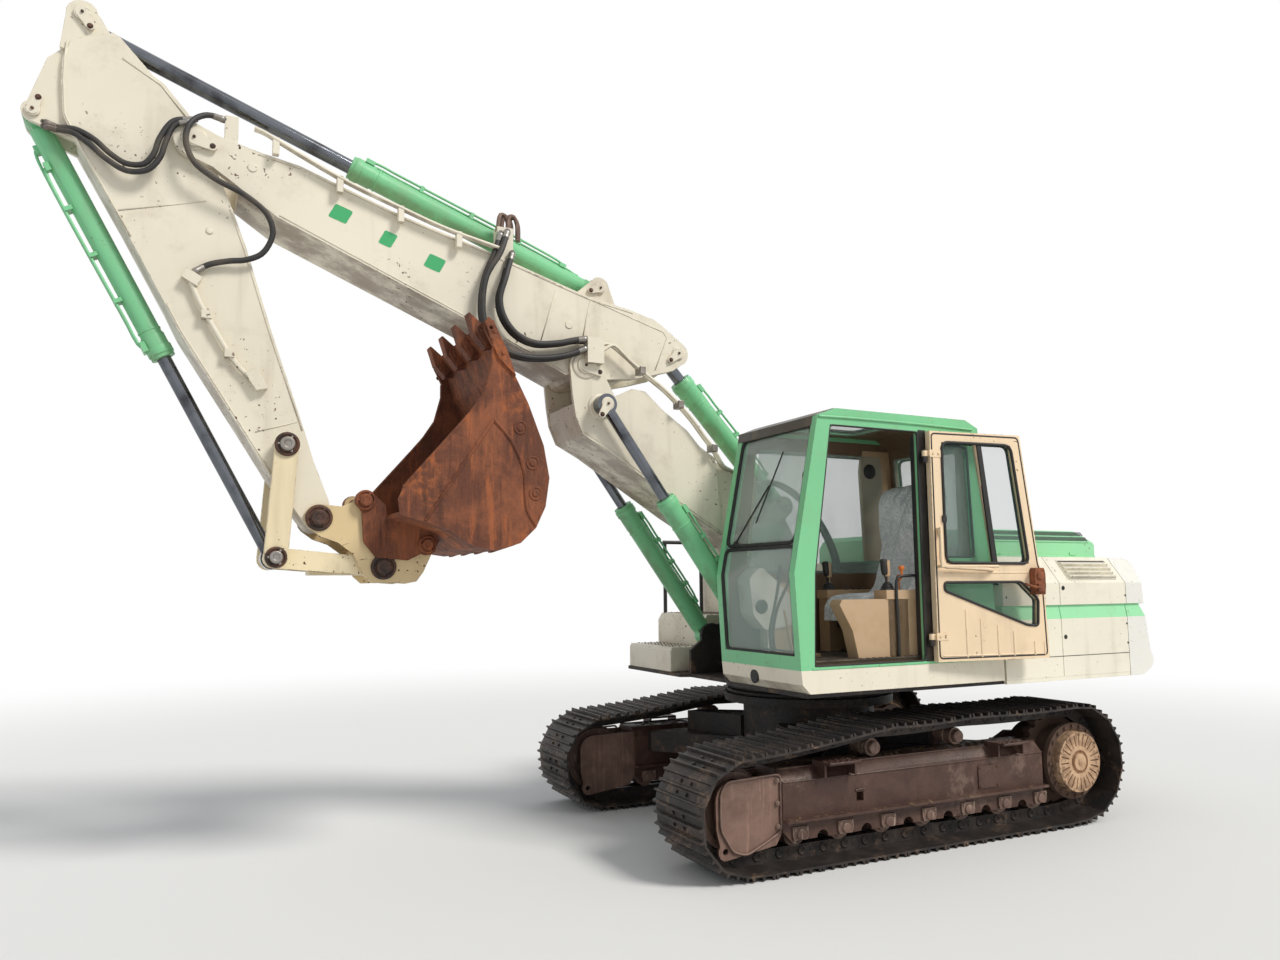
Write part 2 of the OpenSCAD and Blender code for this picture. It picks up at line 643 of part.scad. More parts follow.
module cab_windows() {
    color(glass) placed() {
        // Two front panes with a bar between them: the lower one bends at the knee
        for (zs = [[sill_z + 90 + seat, knee_z, 2060], [2084, window_top_z - seat]]) {
            outside = [for (z = zs) [front_x_at(z) - 24, z]];
            inside = [for (i = [len(zs) - 1 : -1 : 0]) outside[i] - [pane, 0]];
            plate(concat(outside, inside), cab_right_y + 60 + seat, upper_half_w - 60 - seat);
        }
    }
    color(black) placed()
        plate([[front_x_at(2059) - 14, 2059], [front_x_at(2059) - 44, 2059],
            [front_x_at(2085) - 44, 2085],
            [front_x_at(2085) - 14, 2085]], cab_right_y + 60 + seat, upper_half_w - 60 - seat);
    color(glass) placed() {
        plate([[-530, 1980], [door_hinge_x - 52, 1980], [door_hinge_x - 52, window_top_z - 70],
            [-500, window_top_z - 70]],
            upper_half_w - cab_wall - pane - 0.3, upper_half_w - cab_wall - 0.3);
        plate([[-510, 1890], [820, 1890], [705, window_top_z - 50], [-470, window_top_z - 50]],
            cab_right_y + cab_wall + 0.3, cab_right_y + cab_wall + pane + 0.3);
        rear_glass = [for (z = [2070, window_top_z - 70]) [rear_in_x(z) + seat, z]];
        plate([rear_glass[0], rear_glass[1], rear_glass[1] + [pane, 0], rear_glass[0] + [pane, 0]],
            cab_right_y + 100, upper_half_w - 100);
        block([-110, cab_right_y + 170, cab_top_z - cab_wall * 0.6 - pane - 0.5],
            [570, upper_half_w - 170, cab_top_z - cab_wall * 0.6 - 0.5]);
    }
}

// Operator's chair on its box
chair_y = (cab_right_y + upper_half_w) / 2;
cab_floor_z = sill_z - 1 + cab_wall;
// Consoles stand off the cab's walls, and the chair between them
console_half = 60;
console_y = (upper_half_w - cab_right_y) / 2 - cab_wall - 51 - console_half;
chair_half = console_y - console_half - 20;
dash_w = 140;
module operator_chair() {
    color(cream) placed() {
        block([-330, chair_y - chair_half + 20, cab_floor_z + seat],
            [160, chair_y + chair_half - 20, 1520]);
        plate([[-280, 1519], [-300, 1660], [190, 1680], [240, 1640], [230, 1590], [150, 1519]],
            chair_y - chair_half, chair_y + chair_half);
        plate([[-300, 1640], [-470, 2180], [-440, 2230], [-330, 2230], [-150, 1655]],
            chair_y - chair_half + 15, chair_y + chair_half - 15);
        plate([[-425, 2229], [-465, 2400], [-440, 2440], [-360, 2440], [-330, 2229]], chair_y - 130,
            chair_y + 130);
    }
}

// Consoles with levers, pedals and the dash box
module cab_consoles() {
    color(black) placed() {
        for (s = [-1, 1]) {
            block([-300, chair_y + s * console_y - console_half, cab_floor_z + seat],
                [220, chair_y + s * console_y + console_half, 1750]);
            translate([170, chair_y + s * console_y, 1749]) cylinder(h = 120, r = 12);
            translate([170, chair_y + s * console_y, 1860]) cylinder(h = 110, r = 24);
        }
        block([560, cab_right_y + cab_wall + 21, cab_floor_z + seat],
            [720, cab_right_y + cab_wall + 21 + dash_w, 1820]);
        for (s = [-1, 1]) {
            translate([700, chair_y + s * 70, cab_floor_z + seat]) rotate([0, 12, 0])
                translate([0, 0, 6]) cylinder(h = 330, r = 10);
            block([600, chair_y + s * 70 - 45, cab_floor_z + seat],
                [820, chair_y + s * 70 + 45, cab_floor_z + 30]);
        }
    }
}

// Tool box with a step in front, then the fuel tank
module tank_and_steps() {
    color(cream) placed() mirror([0, 1, 0]) {
        plate([[-540, deck_top_z + seat], [-540, 1950], [-500, 1990], [150, 1990], [180, 1960],
            [180, deck_top_z + seat]],
            430, upper_half_w - 10);
        plate([[200, deck_top_z + seat], [200, 1560], [620, 1560], [660, 1500], [660, deck_top_z + seat]],
            530, upper_half_w - 10);
        plate([[680, deck_top_z + seat], [680, 1300], [960, 1300], [975, 1270], [975, deck_top_z + seat]],
            530, upper_half_w - 60);
    }
}

module handrail() {
    color(black) placed() mirror([0, 1, 0]) {
        r = 17;
        for (x = [230, 610]) translate([x, upper_half_w - 60, 1560 + seat]) cylinder(h = 640, r = r);
        translate([230 - r, upper_half_w - 60, 2200]) rotate([0, 90, 0]) cylinder(h = 380 + 2 * r, r = r);
    }
}

// Door: built closed, standing proud of the cab's side, then swung open about its hinge
module as_opened() {
    translate([door_hinge_x, door_pin_y, 0]) rotate([0, 0, door_open])
        translate([-door_hinge_x, -door_pin_y, 0])
        children();
}

door_rear_x = door_hinge_x + 33;
door_out = [[door_rear_x, sill_z + 13], [955, sill_z + 13], [935, 1875], [900, 1939],
    [778, window_top_z + 2], [door_rear_x, window_top_z + 2]];
upper_pane = [[85, 1950], [808, 1945], [692, window_top_z - 75], [85, window_top_z - 75]];
lower_pane = [[62, 1756], [770, 1505], [863, 1499], [876, 1685], [732, 1813], [62, 1813]];
pane_bar = [[500, 1944], [524, 1944], [407, window_top_z - 74], [383, window_top_z - 74]];
module cab_door() {
    rail_y = door_y0 - 45;
    color(cream) placed() as_opened() {
        difference() {
            plate(door_out, door_y0, door_y1);
            plate(upper_pane, door_y0 - 1, door_y1 + 1);
            plate(lower_pane, door_y0 - 1, door_y1 + 1);
        }
        // Slanted bar between the two upper panes
        plate(pane_bar, door_y0 + 8, door_y1 - 12);
        // Latch block inside, near the front edge
        block([latch_x - 51, door_y0 - latch_t, 1775], [latch_x, door_y0 + 1, 1890]);
        // Grab rail: upright at the hinge side, then along the window's foot
        translate([14, rail_y, 1925]) cylinder(h = 270, r = 10);
        translate([4, rail_y, 1925]) rotate([0, 90, 0]) cylinder(h = 490, r = 10);
        for (p = [[14, 2185], [14, 1925], [480, 1925]])
            translate([p[0], rail_y, p[1]]) rotate([-90, 0, 0]) cylinder(h = 46, r = 10);
        // Hinge arms
        for (z = [1420, 2700]) difference() {
            union() {
                block([door_hinge_x, door_pin_y - 12, z], [door_rear_x + 1, door_pin_y + 12, z + 40]);
                translate([door_hinge_x, door_pin_y, z]) cylinder(h = 40, r = 17);
            }
            translate([door_hinge_x, door_pin_y, z - 1]) cylinder(h = 60, r = 8 + pin_clear);
        }
    }
}

module door_window() {
    color(glass) placed() as_opened() {
        y = door_y0 + 22;
        difference() {
            plate(upper_pane, y, y + pane);
            plate(pane_bar, y - 1, y + pane + 1);
        }
        plate(lower_pane, y, y + pane);
    }
}

// Base boom: box from the foot, then two cheeks round the upper boom
base_half = 240;
cheek_in = upper_boom_half + 8;
cheek_out = cheek_in + cheek_t;
base_core = concat(arc(foot_p, 128, 150, 290, 7), [[871, 2168], [1181, 2352], [1598, 2615], [1877, 2794],
    [2061, 2892], [2120, 3027], [2130, 3120], [1960, 3140], [1810, 3150], [1672, 3150], [1416, 3060],
    [1203, 2950], [1094, 2840], [700, 2620], [330, 2380]]);
cheek_side = concat([[900, 2190], [1181, 2350], [1598, 2613], [1877, 2792], [2063, 2890], [2122, 3025],
    [2144, 3163], [2167, 3385]], arc(fold_p, 116, 0, 150, 6), [[1813, 3192], [1672, 3261], [1560, 3250],
    [1416, 3122], [1203, 2976], [1094, 2859], [960, 2780]]);
// Space between the cheeks for the upper boom
cheek_gap = [[2400, 3125], [1990, 3200], [1800, 3150], [1500, 3165], [1100, 3600], [2400, 3700]];
module base_boom() {
    color(cream) in_boom_plane() {
        difference() {
            union() {
                plate(base_core, -base_half, base_half);
                plate_pair(cheek_side, base_half - 1, cheek_out);
            }
            plate(cheek_gap, -cheek_in, cheek_in);
            bar(foot_p, main_pin_r + pin_clear, -400, 400);
        }
        // Fold pin with its end collars
        bar(fold_p, main_pin_r, -cheek_out - 14, cheek_out + 14);
        bar_pair(fold_p, 78, cheek_out - 1, cheek_out + 10);
        // Adjusting cylinder's ears
        ears(adjust_base_p, [[300, 2250], [440, 2330]], 86, 62, 96, base_pin_r);
        // Blocks that hold the pipes and hoses of the left side
        block([1930, cheek_out - 1, 3410], [2060, cheek_out + 78, 3600]);
        block([560, 150, 2500], [640, 235, 2660]);
        // Boom cylinder rod bosses, outside the cheeks
        bar_pair(boom_eye_p, 70, cheek_out - 1, boom_cyl_y - 44 - face_gap);
    }
}

// Two ears with a pin through them: p is the pin, feet are two points in the parent
module ears(p, feet, r, y0, y1, pin_r) {
    a0 = aim(p, feet[0]);
    a1 = aim(p, feet[1]);
    plate_pair(concat([feet[0], feet[1]], arc(p, r, a1 + 90, a0 + 270, 10)), y0, y1);
    bar(p, pin_r, -y1 - 12, y1 + 12);
}

// Upper boom: a box with a rear horn, a pivot boss and a fork at the nose
horn_in = 165;
fork_in = stick_half + 14;
slot_r = 330;
upper_side = concat([[4173, 4170], [2915, 3646], [2384, 3417], [2178, 3323]],
    arc(fold_p, 112, -30, -120, 4),
    [[1780, 3330], [1654, 3342], [1476, 3388], [1300, 3440]], arc(lug_p, 92, 250, 130, 6),
    [[1390, 3784], [1455, 3821], [1640, 3870], [2007, 3933], [2262, 4008], [2773, 4162], [3372, 4316],
    [4041, 4538], [4300, 4584], [4533, 4640]], arc(swing_p, 118, 80, -60, 8), [[4560, 4430]]);
module upper_boom() {
    color(cream) in_boom_plane() {
        difference() {
            plate(upper_side, -upper_boom_half, upper_boom_half);
            // Space for the adjusting cylinder in the horn
            plate([[1000, 3200], [1700, 3200], [1700, 3345], [1560, 3700], [1300, 3900], [1000, 3900]],
                -horn_in, horn_in);
            // Fork for the stick
            bar(swing_p, slot_r, -fork_in, fork_in);
            plate([[4400, 4300], [4700, 4000], [5000, 4300], [5000, 4900], [4400, 4900]], -fork_in,
                fork_in);
            bar(fold_p, main_pin_r + pin_clear, -400, 400);
        }
        // Lug collars, open in the middle for the rod's eye
        bar_pair(lug_p, 70, 62, horn_in + 1);
        bar_pair(lug_p, 52, upper_boom_half - 1, upper_boom_half + 9);
        bar(swing_p, main_pin_r, -upper_boom_half - 18, upper_boom_half + 18);
        bar_pair(swing_p, 75, upper_boom_half - 1, upper_boom_half + 10);
        // Pipe blocks at the middle and at the nose
        block([2585, 135, 4060], [2705, 225, 4360]);
        block([4420, 185, 4560], [4500, 228, 4790]);
        // Stick cylinder's ears
        ears(arm_base_p, [[1730, 3870], [2110, 3940]], 88, 112, 150, base_pin_r);
    }
}

// Stick: a box with a top fork for two cylinders and a slim nose
module stick() {
    color(cream) in_boom_plane() {
        difference() {
            union() {
                plate([[5139, 5203], [5102, 5181], [4913, 4979], [4851, 4940], [4707, 4776],
                    each arc(swing_p, 125, 90, 215, 6), [4433, 4202], [4344, 3963], [4180, 3448],
                        [3959, 2814],
                    [3897, 2617], [3800, 2376], each arc(nose_p, 85, 165, 330, 8), [4155, 2509],
                    [4282, 2713],
                    [4713, 3387], [4793, 3548], [5050, 4023], [5314, 4486], [5380, 4620], [5400, 4838],
                    [5400, 4977], [5360, 5110]], -stick_half, stick_half);
                // Top ears for the stick cylinder
                plate_pair(concat(arc(arm_eye_p, 88, -10, 170, 8),
                    [[5130, 5150], [5250, 4980], [5420, 5050]]),
                    105, stick_half - 10);
                // Rear ears for the bucket cylinder
                plate_pair(concat(arc(bucket_base_p, 62, -70, 60, 6),
                    [[5480, 4977], [5380, 5080], [5280, 4700], [5314, 4486]]), 92, 130);
            }
            bar(swing_p, main_pin_r + pin_clear, -400, 400);
            // Slots between the ears
            plate([[4800, 5500], [4960, 4900], [5330, 4800], [5700, 5300]], -70, 70);
            plate([[5400, 5000], [5330, 4700], [5300, 4400], [5700, 4300], [5700, 5000]], -88, 88);
        }
        bar_pair(arm_eye_p, 60, 70, 106);
        bar_pair(arm_eye_p, base_pin_r, stick_half - 11, stick_half + 2);
        bar(bucket_base_p, base_pin_r, -142, 142);
        // Tipping link's pin and the nose pin
        bar(tip_p, link_pin_r, -255, 255);
        bar_pair(tip_p, 70, stick_half - 1, 198);
        // Valve and pipe blocks on the left side
        plate([[4620, 3660], [4710, 3710], [4680, 3770], [4590, 3720]], stick_half - 1, stick_half + 62);
        plate([[4190, 3060], [4260, 3040], [4330, 3150], [4260, 3190]], stick_half - 1, stick_half + 55);
        bar(nose_p, link_pin_r, -coupler_half - 34, coupler_half + 34);
    }
}

// Tipping links: one on each side, joined by their pin ends only
tip_in = 214;
tip_out = 244;
module tipping_link() {
    color(cream) in_boom_plane() {
        difference() {
            plate_pair(concat(arc(tip_p, 72, 5, 185, 8), arc(link_p, 72, 185, 365, 8)), tip_in, tip_out);
            bar(tip_p, link_pin_r + pin_clear, -300, 300);
        }
        bar_pair(link_p, link_pin_r, 76, tip_out + 12);
    }
}

// Power link: two arms with a joined middle
module power_link() {
    color(cream) in_boom_plane() {
        difference() {
            union() {
                plate_pair(concat(arc(link_p, 66, -95, 85, 8), arc(hook_p, 60, 85, 265, 8)), 84, 164);
                block([hook_p[0] + 110, -90, hook_p[1] - 50], [link_p[0] - 220, 90, hook_p[1] + 60]);
            }
            bar(link_p, link_pin_r + pin_clear, -300, 300);
            bar(hook_p, link_pin_r + pin_clear, -300, 300);
        }
    }
}

// Quick coupler: two plates with hooks for the bucket's pins
module coupler() {
    color(steel) in_boom_plane() {
        side = concat(arc(nose_p, 88, -50, 95, 6), [[3720, 2330], [3660, 2360]],
            arc(bucket_pin_p, 62, 0, 150, 5),
            [[3505, 2330], [3492, 2255], [3440, 2222], [3240, 2140]], arc(hitch_p, 62, 50, 200, 5),
            [[3188, 1908], [3232, 1848], [3307, 1833], [3419, 1841], [3522, 1838], [3574, 1886],
            [3644, 2026], [3745, 2099], [3844, 2133]]);
        difference() {
            plate_pair(side, coupler_half, coupler_half + 28);
            bar(nose_p, link_pin_r + pin_clear, -300, 300);
            bar(bucket_pin_p, link_pin_r + seat, -300, 300);
            bar(hitch_p, link_pin_r + seat, -300, 300);
        }
        bar_pair(hook_p, link_pin_r, coupler_half - 3, coupler_half + 38);
        block([3540, -coupler_half - 1, 2180], [3680, coupler_half + 1, 2230]);
    }
}

// Bucket: an open shell with a curved wrapper, ears, teeth and side cutters
bucket_out = [[2912, 3545], [2806, 3430], [2739, 3242], [2619, 3010], [2510, 2736], [2469, 2521],
    [2496, 2330],
    [2561, 2190], [2666, 2089], [2821, 2039], [2972, 2061], [3071, 2120], [3133, 2167], [3242, 2201],
    [3445, 2255]];
bucket_mouth = [[3459, 2349], [3430, 2420], [3080, 2825], [2994, 2930], [2907, 3063], [2857, 3257],
    [2858, 3358], [2924, 3478]];
function inward(pts, d) = [for (i = [0 : len(pts) - 1])
    let (a = pts[max(i - 1, 0)], b = pts[min(i + 1, len(pts) - 1)])
    pts[i] - unit(side_of(b - a)) * d];
module bucket() {
    color(rust) in_boom_plane() {
        // Side plates
        plate_pair(concat(bucket_out, bucket_mouth), bucket_half - bucket_skin, bucket_half);
        // Wrapper
        wrap = concat(bucket_out, [for (i = [len(bucket_out) - 1 : -1 : 0]) inward(bucket_out,
            bucket_skin)[i]]);
        plate(wrap, -bucket_half + 1, bucket_half - 1);
        // Teeth
        for (i = [0 : tooth_count - 1]) {
            y = -500 + 1000 * i / (tooth_count - 1);
            plate([[2995, 3610], [3005, 3605], [2960, 3470], [2880, 3380], [2800, 3400], [2830, 3480]],
                y - 45, y + 45);
        }
        // Side cutters on the outside of the front corners
        difference() {
            plate_pair([[2905, 3560], [2867, 3536], [2767, 3335], [2712, 3187], [2830, 3295],
                [2879, 3405], [2922, 3523]],
                bucket_half - 1, bucket_half + 18);
            bar([2885, 3490], 13, -bucket_half - 30, bucket_half + 30);
        }
        // Ears that hold the two bucket pins
        plate_pair(concat([[3090, 2118], [3120, 2060]], arc(hitch_p, 70, 200, 300, 4),
            [[3300, 1985], [3505, 2005],
            [3583, 2101], [3600, 2300]], arc(bucket_pin_p, 66, -20, 140, 6), [[3450, 2345], [3440, 2262],
            [3240, 2208], [3130, 2174]]), 212, 236);
        bar(bucket_pin_p, link_pin_r, -250, 250);
        bar(hitch_p, link_pin_r, -250, 250);
    }
}

// Cylinders: a barrel with its base eye and gland, and a rod with its end eye
module barrel(base, eye, length, r, gland_r, gland_l, eye_r, eye_half, pin_r, rod_r) {
    neck = min(eye_half, 0.8 * r);
    translate([base[0], 0, base[1]]) rotate([0, -aim(base, eye), 0]) difference() {
        union() {
            rotate([0, 90, 0]) translate([0, 0, eye_r + 14]) cylinder(h = length - eye_r - 14, r = r);
            // Neck between the eye and the barrel
            block([0, -neck, -0.7 * eye_r], [eye_r + 15, neck, 0.7 * eye_r]);
            // Gland: a sleeve with a wider flange
            rotate([0, 90, 0]) translate([0, 0, length - gland_l]) cylinder(h = gland_l, r = gland_r);
            rotate([0, 90, 0]) translate([0, 0, length - 74]) cylinder(h = 50, r = gland_r + 6);
            bar([0, 0], eye_r, -eye_half, eye_half);
        }
        bar([0, 0], pin_r + pin_clear, -200, 200);
        rotate([0, 90, 0]) translate([0, 0, eye_r + 60]) cylinder(h = length, r = rod_r + seat);
    }
}

module rod(base, eye, length, reach, rod_r, eye_r, eye_half, pin_r) {
    a = aim(base, eye);
    full = norm(eye - base);
    difference() {
        translate([base[0], 0, base[1]]) rotate([0, -a, 0]) {
            rotate([0, 90, 0]) translate([0, 0, length - reach])
                cylinder(h = full - length + reach - eye_r * 0.6, r = rod_r);
            translate([full, 0, 0]) rotate([90, 0, 0]) translate([0, 0, -eye_half])
                cylinder(h = 2 * eye_half, r = eye_r);
        }
        translate([eye[0], 200, eye[1]]) rotate([90, 0, 0]) cylinder(h = 400, r = pin_r + pin_clear);
    }
}

boom_barrel_l = 1285;
module boom_barrel_left() {
    color(mint) in_boom_plane() translate([0, boom_cyl_y, 0])
        barrel(boom_base_p, boom_eye_p, boom_barrel_l, boom_cyl_r, boom_cyl_r + gland_lip - 6, 200, 78,
            44, base_pin_r, 40);
}

module boom_barrel_right() {
    color(mint) in_boom_plane() translate([0, -boom_cyl_y, 0])
        barrel(boom_base_p, boom_eye_p, boom_barrel_l, boom_cyl_r, boom_cyl_r + gland_lip - 6, 200, 78,
            44, base_pin_r, 40);
}

module boom_rod_left() {
    color(chrome) in_boom_plane() translate([0, boom_cyl_y, 0])
        rod(boom_base_p, boom_eye_p, boom_barrel_l, 380, 40, 75, 44, base_pin_r);
}

module boom_rod_right() {
    color(chrome) in_boom_plane() translate([0, -boom_cyl_y, 0])
        rod(boom_base_p, boom_eye_p, boom_barrel_l, 380, 40, 75, 44, base_pin_r);
}

adjust_barrel_l = 1340;
module adjust_barrel() {
    color(mint) in_boom_plane()
        barrel(adjust_base_p, lug_p, adjust_barrel_l, adjust_cyl_r, adjust_cyl_r + 8, 200, 84, 56,
            base_pin_r, 48);
}

module adjust_rod() {
    color(chrome) in_boom_plane()
        rod(adjust_base_p, lug_p, adjust_barrel_l, 850, 48, 80, 50, base_pin_r);
}

arm_barrel_l = 1931;
module arm_barrel() {
    color(mint) in_boom_plane()
        barrel(arm_base_p, arm_eye_p, arm_barrel_l, arm_cyl_r, arm_cyl_r + 6, 160, 86, 104, base_pin_r,
            50);
}

module arm_rod() {
    color(chrome) in_boom_plane()
        rod(arm_base_p, arm_eye_p, arm_barrel_l, 180, 50, 84, 56, base_pin_r);
}

bucket_barrel_l = 1585;
module bucket_barrel() {
    color(mint) in_boom_plane()
        barrel(bucket_base_p, link_p, bucket_barrel_l, bucket_cyl_r, bucket_cyl_r + 6, 150, 62, 82,
            base_pin_r, 42);
}

module bucket_rod() {
    color(chrome) in_boom_plane()
        rod(bucket_base_p, link_p, bucket_barrel_l, 180, 42, 72, 56, link_pin_r);
}

module track_frame_left() {
    color(steel) placed() track_frame();
}

module track_frame_right() {
    color(steel) placed() mirror([0, 1, 0]) track_frame();
}

module track_left() {
    color(black) placed() track();
}

module track_right() {
    color(black) placed() mirror([0, 1, 0]) track();
}

module idler_left() {
    color(steel) placed() idler();
}

module idler_right() {
    color(steel) placed() mirror([0, 1, 0]) idler();
}

module drive_left() {
    color(rust) placed() drive();
}

module drive_right() {
    color(rust) placed() mirror([0, 1, 0]) drive();
}

module rollers_left() {
    color(steel) placed() rollers();
}

module rollers_right() {
    color(steel) placed() mirror([0, 1, 0]) rollers();
}

car_body();
track_frame_left();
track_frame_right();
track_left();
track_right();
idler_left();
idler_right();
drive_left();
drive_right();
rollers_left();
rollers_right();
upper_frame();
counterweight();
side_panels_left();
side_panels_right();
engine_block();
engine_hood();
cab_shell();
cab_windows();
operator_chair();
cab_consoles();
tank_and_steps();
handrail();
cab_door();
door_window();
base_boom();
upper_boom();
stick();
tipping_link();
power_link();
coupler();
bucket();
boom_barrel_left();
boom_barrel_right();
boom_rod_left();
boom_rod_right();
adjust_barrel();
adjust_rod();
arm_barrel();
arm_rod();
bucket_barrel();
bucket_rod();
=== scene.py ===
"""Looks of the crawler excavator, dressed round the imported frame."""
import math
import random

import bmesh
import bpy
from mathutils import Matrix, Vector


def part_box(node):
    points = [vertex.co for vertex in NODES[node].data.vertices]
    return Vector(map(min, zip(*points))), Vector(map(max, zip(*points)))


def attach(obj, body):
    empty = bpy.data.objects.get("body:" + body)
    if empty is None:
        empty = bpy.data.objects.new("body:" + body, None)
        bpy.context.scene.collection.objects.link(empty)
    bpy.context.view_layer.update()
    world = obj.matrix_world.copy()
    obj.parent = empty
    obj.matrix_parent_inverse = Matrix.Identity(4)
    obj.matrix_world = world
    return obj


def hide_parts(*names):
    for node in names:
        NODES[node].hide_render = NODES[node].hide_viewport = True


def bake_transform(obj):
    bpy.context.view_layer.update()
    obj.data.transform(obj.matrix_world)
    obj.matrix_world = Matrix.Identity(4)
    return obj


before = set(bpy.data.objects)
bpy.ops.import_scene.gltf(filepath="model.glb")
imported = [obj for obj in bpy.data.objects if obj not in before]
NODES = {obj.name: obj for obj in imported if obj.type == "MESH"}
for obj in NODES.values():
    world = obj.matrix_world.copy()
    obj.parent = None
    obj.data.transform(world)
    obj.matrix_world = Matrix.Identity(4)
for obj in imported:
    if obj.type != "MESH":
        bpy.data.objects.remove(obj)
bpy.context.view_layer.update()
scene = bpy.context.scene


# Places: millimetres from the slew axis, as in the source, to metres in the row's frame
def middle(node, axis):
    low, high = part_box(node)
    return (low[axis] + high[axis]) / 2


IDLER = (1451, 385)
DRIVE = (-1540, 455)
GAUGE = 2130
BOOM_OFFSET = 72
HALF_W = 1353
ORIGIN_X = round(IDLER[0] / 1000 - middle("idler_left", 0), 3)
ORIGIN_Y = -(middle("track_left", 1) + middle("track_right", 1)) / 2


def P(x, y, z):
    """A point of the machine's frame."""
    return Vector((x / 1000 - ORIGIN_X, y / 1000 - ORIGIN_Y, z / 1000))


def mirrored(x, y, z):
    return P(x, -y, z)


SIDES = (("left", P), ("right", mirrored))


def Q(x, y, z):
    """A point with y measured from the boom's centre plane."""
    return P(x, y - BOOM_OFFSET, z)


DOOR_HINGE = (-45, 1385)
DOOR_OPEN = math.radians(173.5)
DOOR_INNER = 1362
HINGE_Z = (1420, 2700)


def D(x, y, z):
    """A point of the closed door, with y from its inner face, where it is at rest."""
    dx, dy = x - DOOR_HINGE[0], DOOR_INNER + y - DOOR_HINGE[1]
    c, s = math.cos(DOOR_OPEN), math.sin(DOOR_OPEN)
    return P(DOOR_HINGE[0] + c * dx - s * dy, DOOR_HINGE[1] + s * dx + c * dy, z)


# Pivots in the boom's plane
FOOT, FOLD, LUG = (170, 1860), (2051, 3399), (1257, 3578)
ADJUST_BASE, ARM_BASE, SWING = (200, 2440), (1878, 4034), (4673, 4592)
ARM_EYE, BUCKET_BASE, TIP = (5311, 5286), (5537, 4634), (4069, 2708)
LINK, NOSE, HOOK = (4114, 2000), (3860, 2253), (3450, 1942)
BOOM_BASE, BOOM_EYE = (700, 1400), (1930, 3106)
BUCKET_PIN, HITCH = (3580, 2372), (3175, 2089)


# Front of the cab: nearly upright to its knee, then leaning back
SILL_Z, SILL_X = 1253, 1040
KNEE_Z, KNEE_X, LEAN = 1880, 1075, 0.208


def front_x(z):
    if z < KNEE_Z:
        return SILL_X + (KNEE_X - SILL_X) * (z - SILL_Z) / (KNEE_Z - SILL_Z)
    return KNEE_X - LEAN * (z - KNEE_Z)


def back_x(z):
    return -720 + 120 * (z - SILL_Z) / 1687


# Camera, as fitted to the photograph, and light
CAMERA_AT = (4754, 6461, 1813)
HEADING, PITCH, ROLL = -116.67, 6.27, -0.46
FOCAL_PX, PHOTO_PX, SENSOR_MM = 955, 1280, 36
SUN_RAY = (0.42, -0.62, -0.72)
SKY_LIGHT, SKY_SEEN = ((0.93, 0.96, 1, 1), 0.5), ((1, 1, 1, 1), 1.0)


def make_camera():
    heading, pitch, roll = (math.radians(a) for a in (HEADING, PITCH, ROLL))
    flat = math.cos(pitch)
    forward = Vector((flat * math.cos(heading), flat * math.sin(heading), math.sin(pitch)))
    right = Vector((math.sin(heading), -math.cos(heading), 0))
    up = right.cross(forward)
    right = math.cos(roll) * right + math.sin(roll) * up
    up = right.cross(forward)
    data = bpy.data.cameras.new("camera")
    data.sensor_width = SENSOR_MM
    data.lens = FOCAL_PX / PHOTO_PX * SENSOR_MM
    data.clip_end = 200
    camera = bpy.data.objects.new("camera", data)
    camera.matrix_world = Matrix((right, up, -forward)).transposed().to_4x4()
    camera.matrix_world.translation = P(*CAMERA_AT)
    scene.collection.objects.link(camera)
    scene.camera = camera


def make_light():
    scene.view_settings.view_transform = "Standard"
    world = bpy.data.worlds.new("world")
    scene.world = world
    world.use_nodes = True
    tree = world.node_tree
    tree.nodes.clear()
    out = tree.nodes.new("ShaderNodeOutputWorld")
    mix = tree.nodes.new("ShaderNodeMixShader")
    rays = tree.nodes.new("ShaderNodeLightPath")
    seen = None
    for name in ("Is Camera Ray", "Is Glossy Ray", "Is Transmission Ray"):
        if seen is None:
            seen = rays.outputs[name]
            continue
        both = tree.nodes.new("ShaderNodeMath")
        both.operation = "MAXIMUM"
        tree.links.new(seen, both.inputs[0])
        tree.links.new(rays.outputs[name], both.inputs[1])
        seen = both.outputs[0]
    tree.links.new(seen, mix.inputs[0])
    for i, (colour, strength) in enumerate((SKY_LIGHT, SKY_SEEN)):
        back = tree.nodes.new("ShaderNodeBackground")
        back.inputs["Color"].default_value = colour
        back.inputs["Strength"].default_value = strength
        tree.links.new(back.outputs[0], mix.inputs[i + 1])
    tree.links.new(mix.outputs[0], out.inputs[0])
    sun = bpy.data.objects.new("sun", bpy.data.lights.new("sun", "SUN"))
    sun.data.energy = 2.3
    sun.data.angle = math.radians(16)
    sun.data.color = (1, 0.97, 0.92)
    sun.rotation_mode = "QUATERNION"
    sun.rotation_quaternion = Vector(SUN_RAY).to_track_quat("-Z", "Y")
    scene.collection.objects.link(sun)


# Materials
def rgb(code):
    """An sRGB colour, written 0xRRGGBB, as a linear one."""
    parts = [c / 255 for c in code.to_bytes(3, "big")]
    return tuple(c / 12.92 if c <= 0.04045 else ((c + 0.055) / 1.055) ** 2.4 for c in parts) + (1.0,)


def shade(colour, k):
    return tuple(c * k for c in colour[:3]) + (1.0,)


CREAM = rgb(0xEAE2CE)
PANEL = rgb(0xF3EDDA)
WEIGHT = rgb(0xEEECE4)
MINT = rgb(0x80CD96)
# A lighter copy of the mint for faces that face up, the hood and the side stripes: painted light
MINT_LIT = rgb(0x9CE2AC)
TAN = rgb(0xBEA07E)
# The cab's lining colour, darkened: painted shade inside the cab
SHADED_LINING = rgb(0x705A46)
RUST = rgb(0x623826)
ORANGE = rgb(0xA45C32)
EARTH = rgb(0x68503C)
DUST = rgb(0x968068)
SHOE = rgb(0x2C2928)
BLACK = rgb(0x1A1A1B)


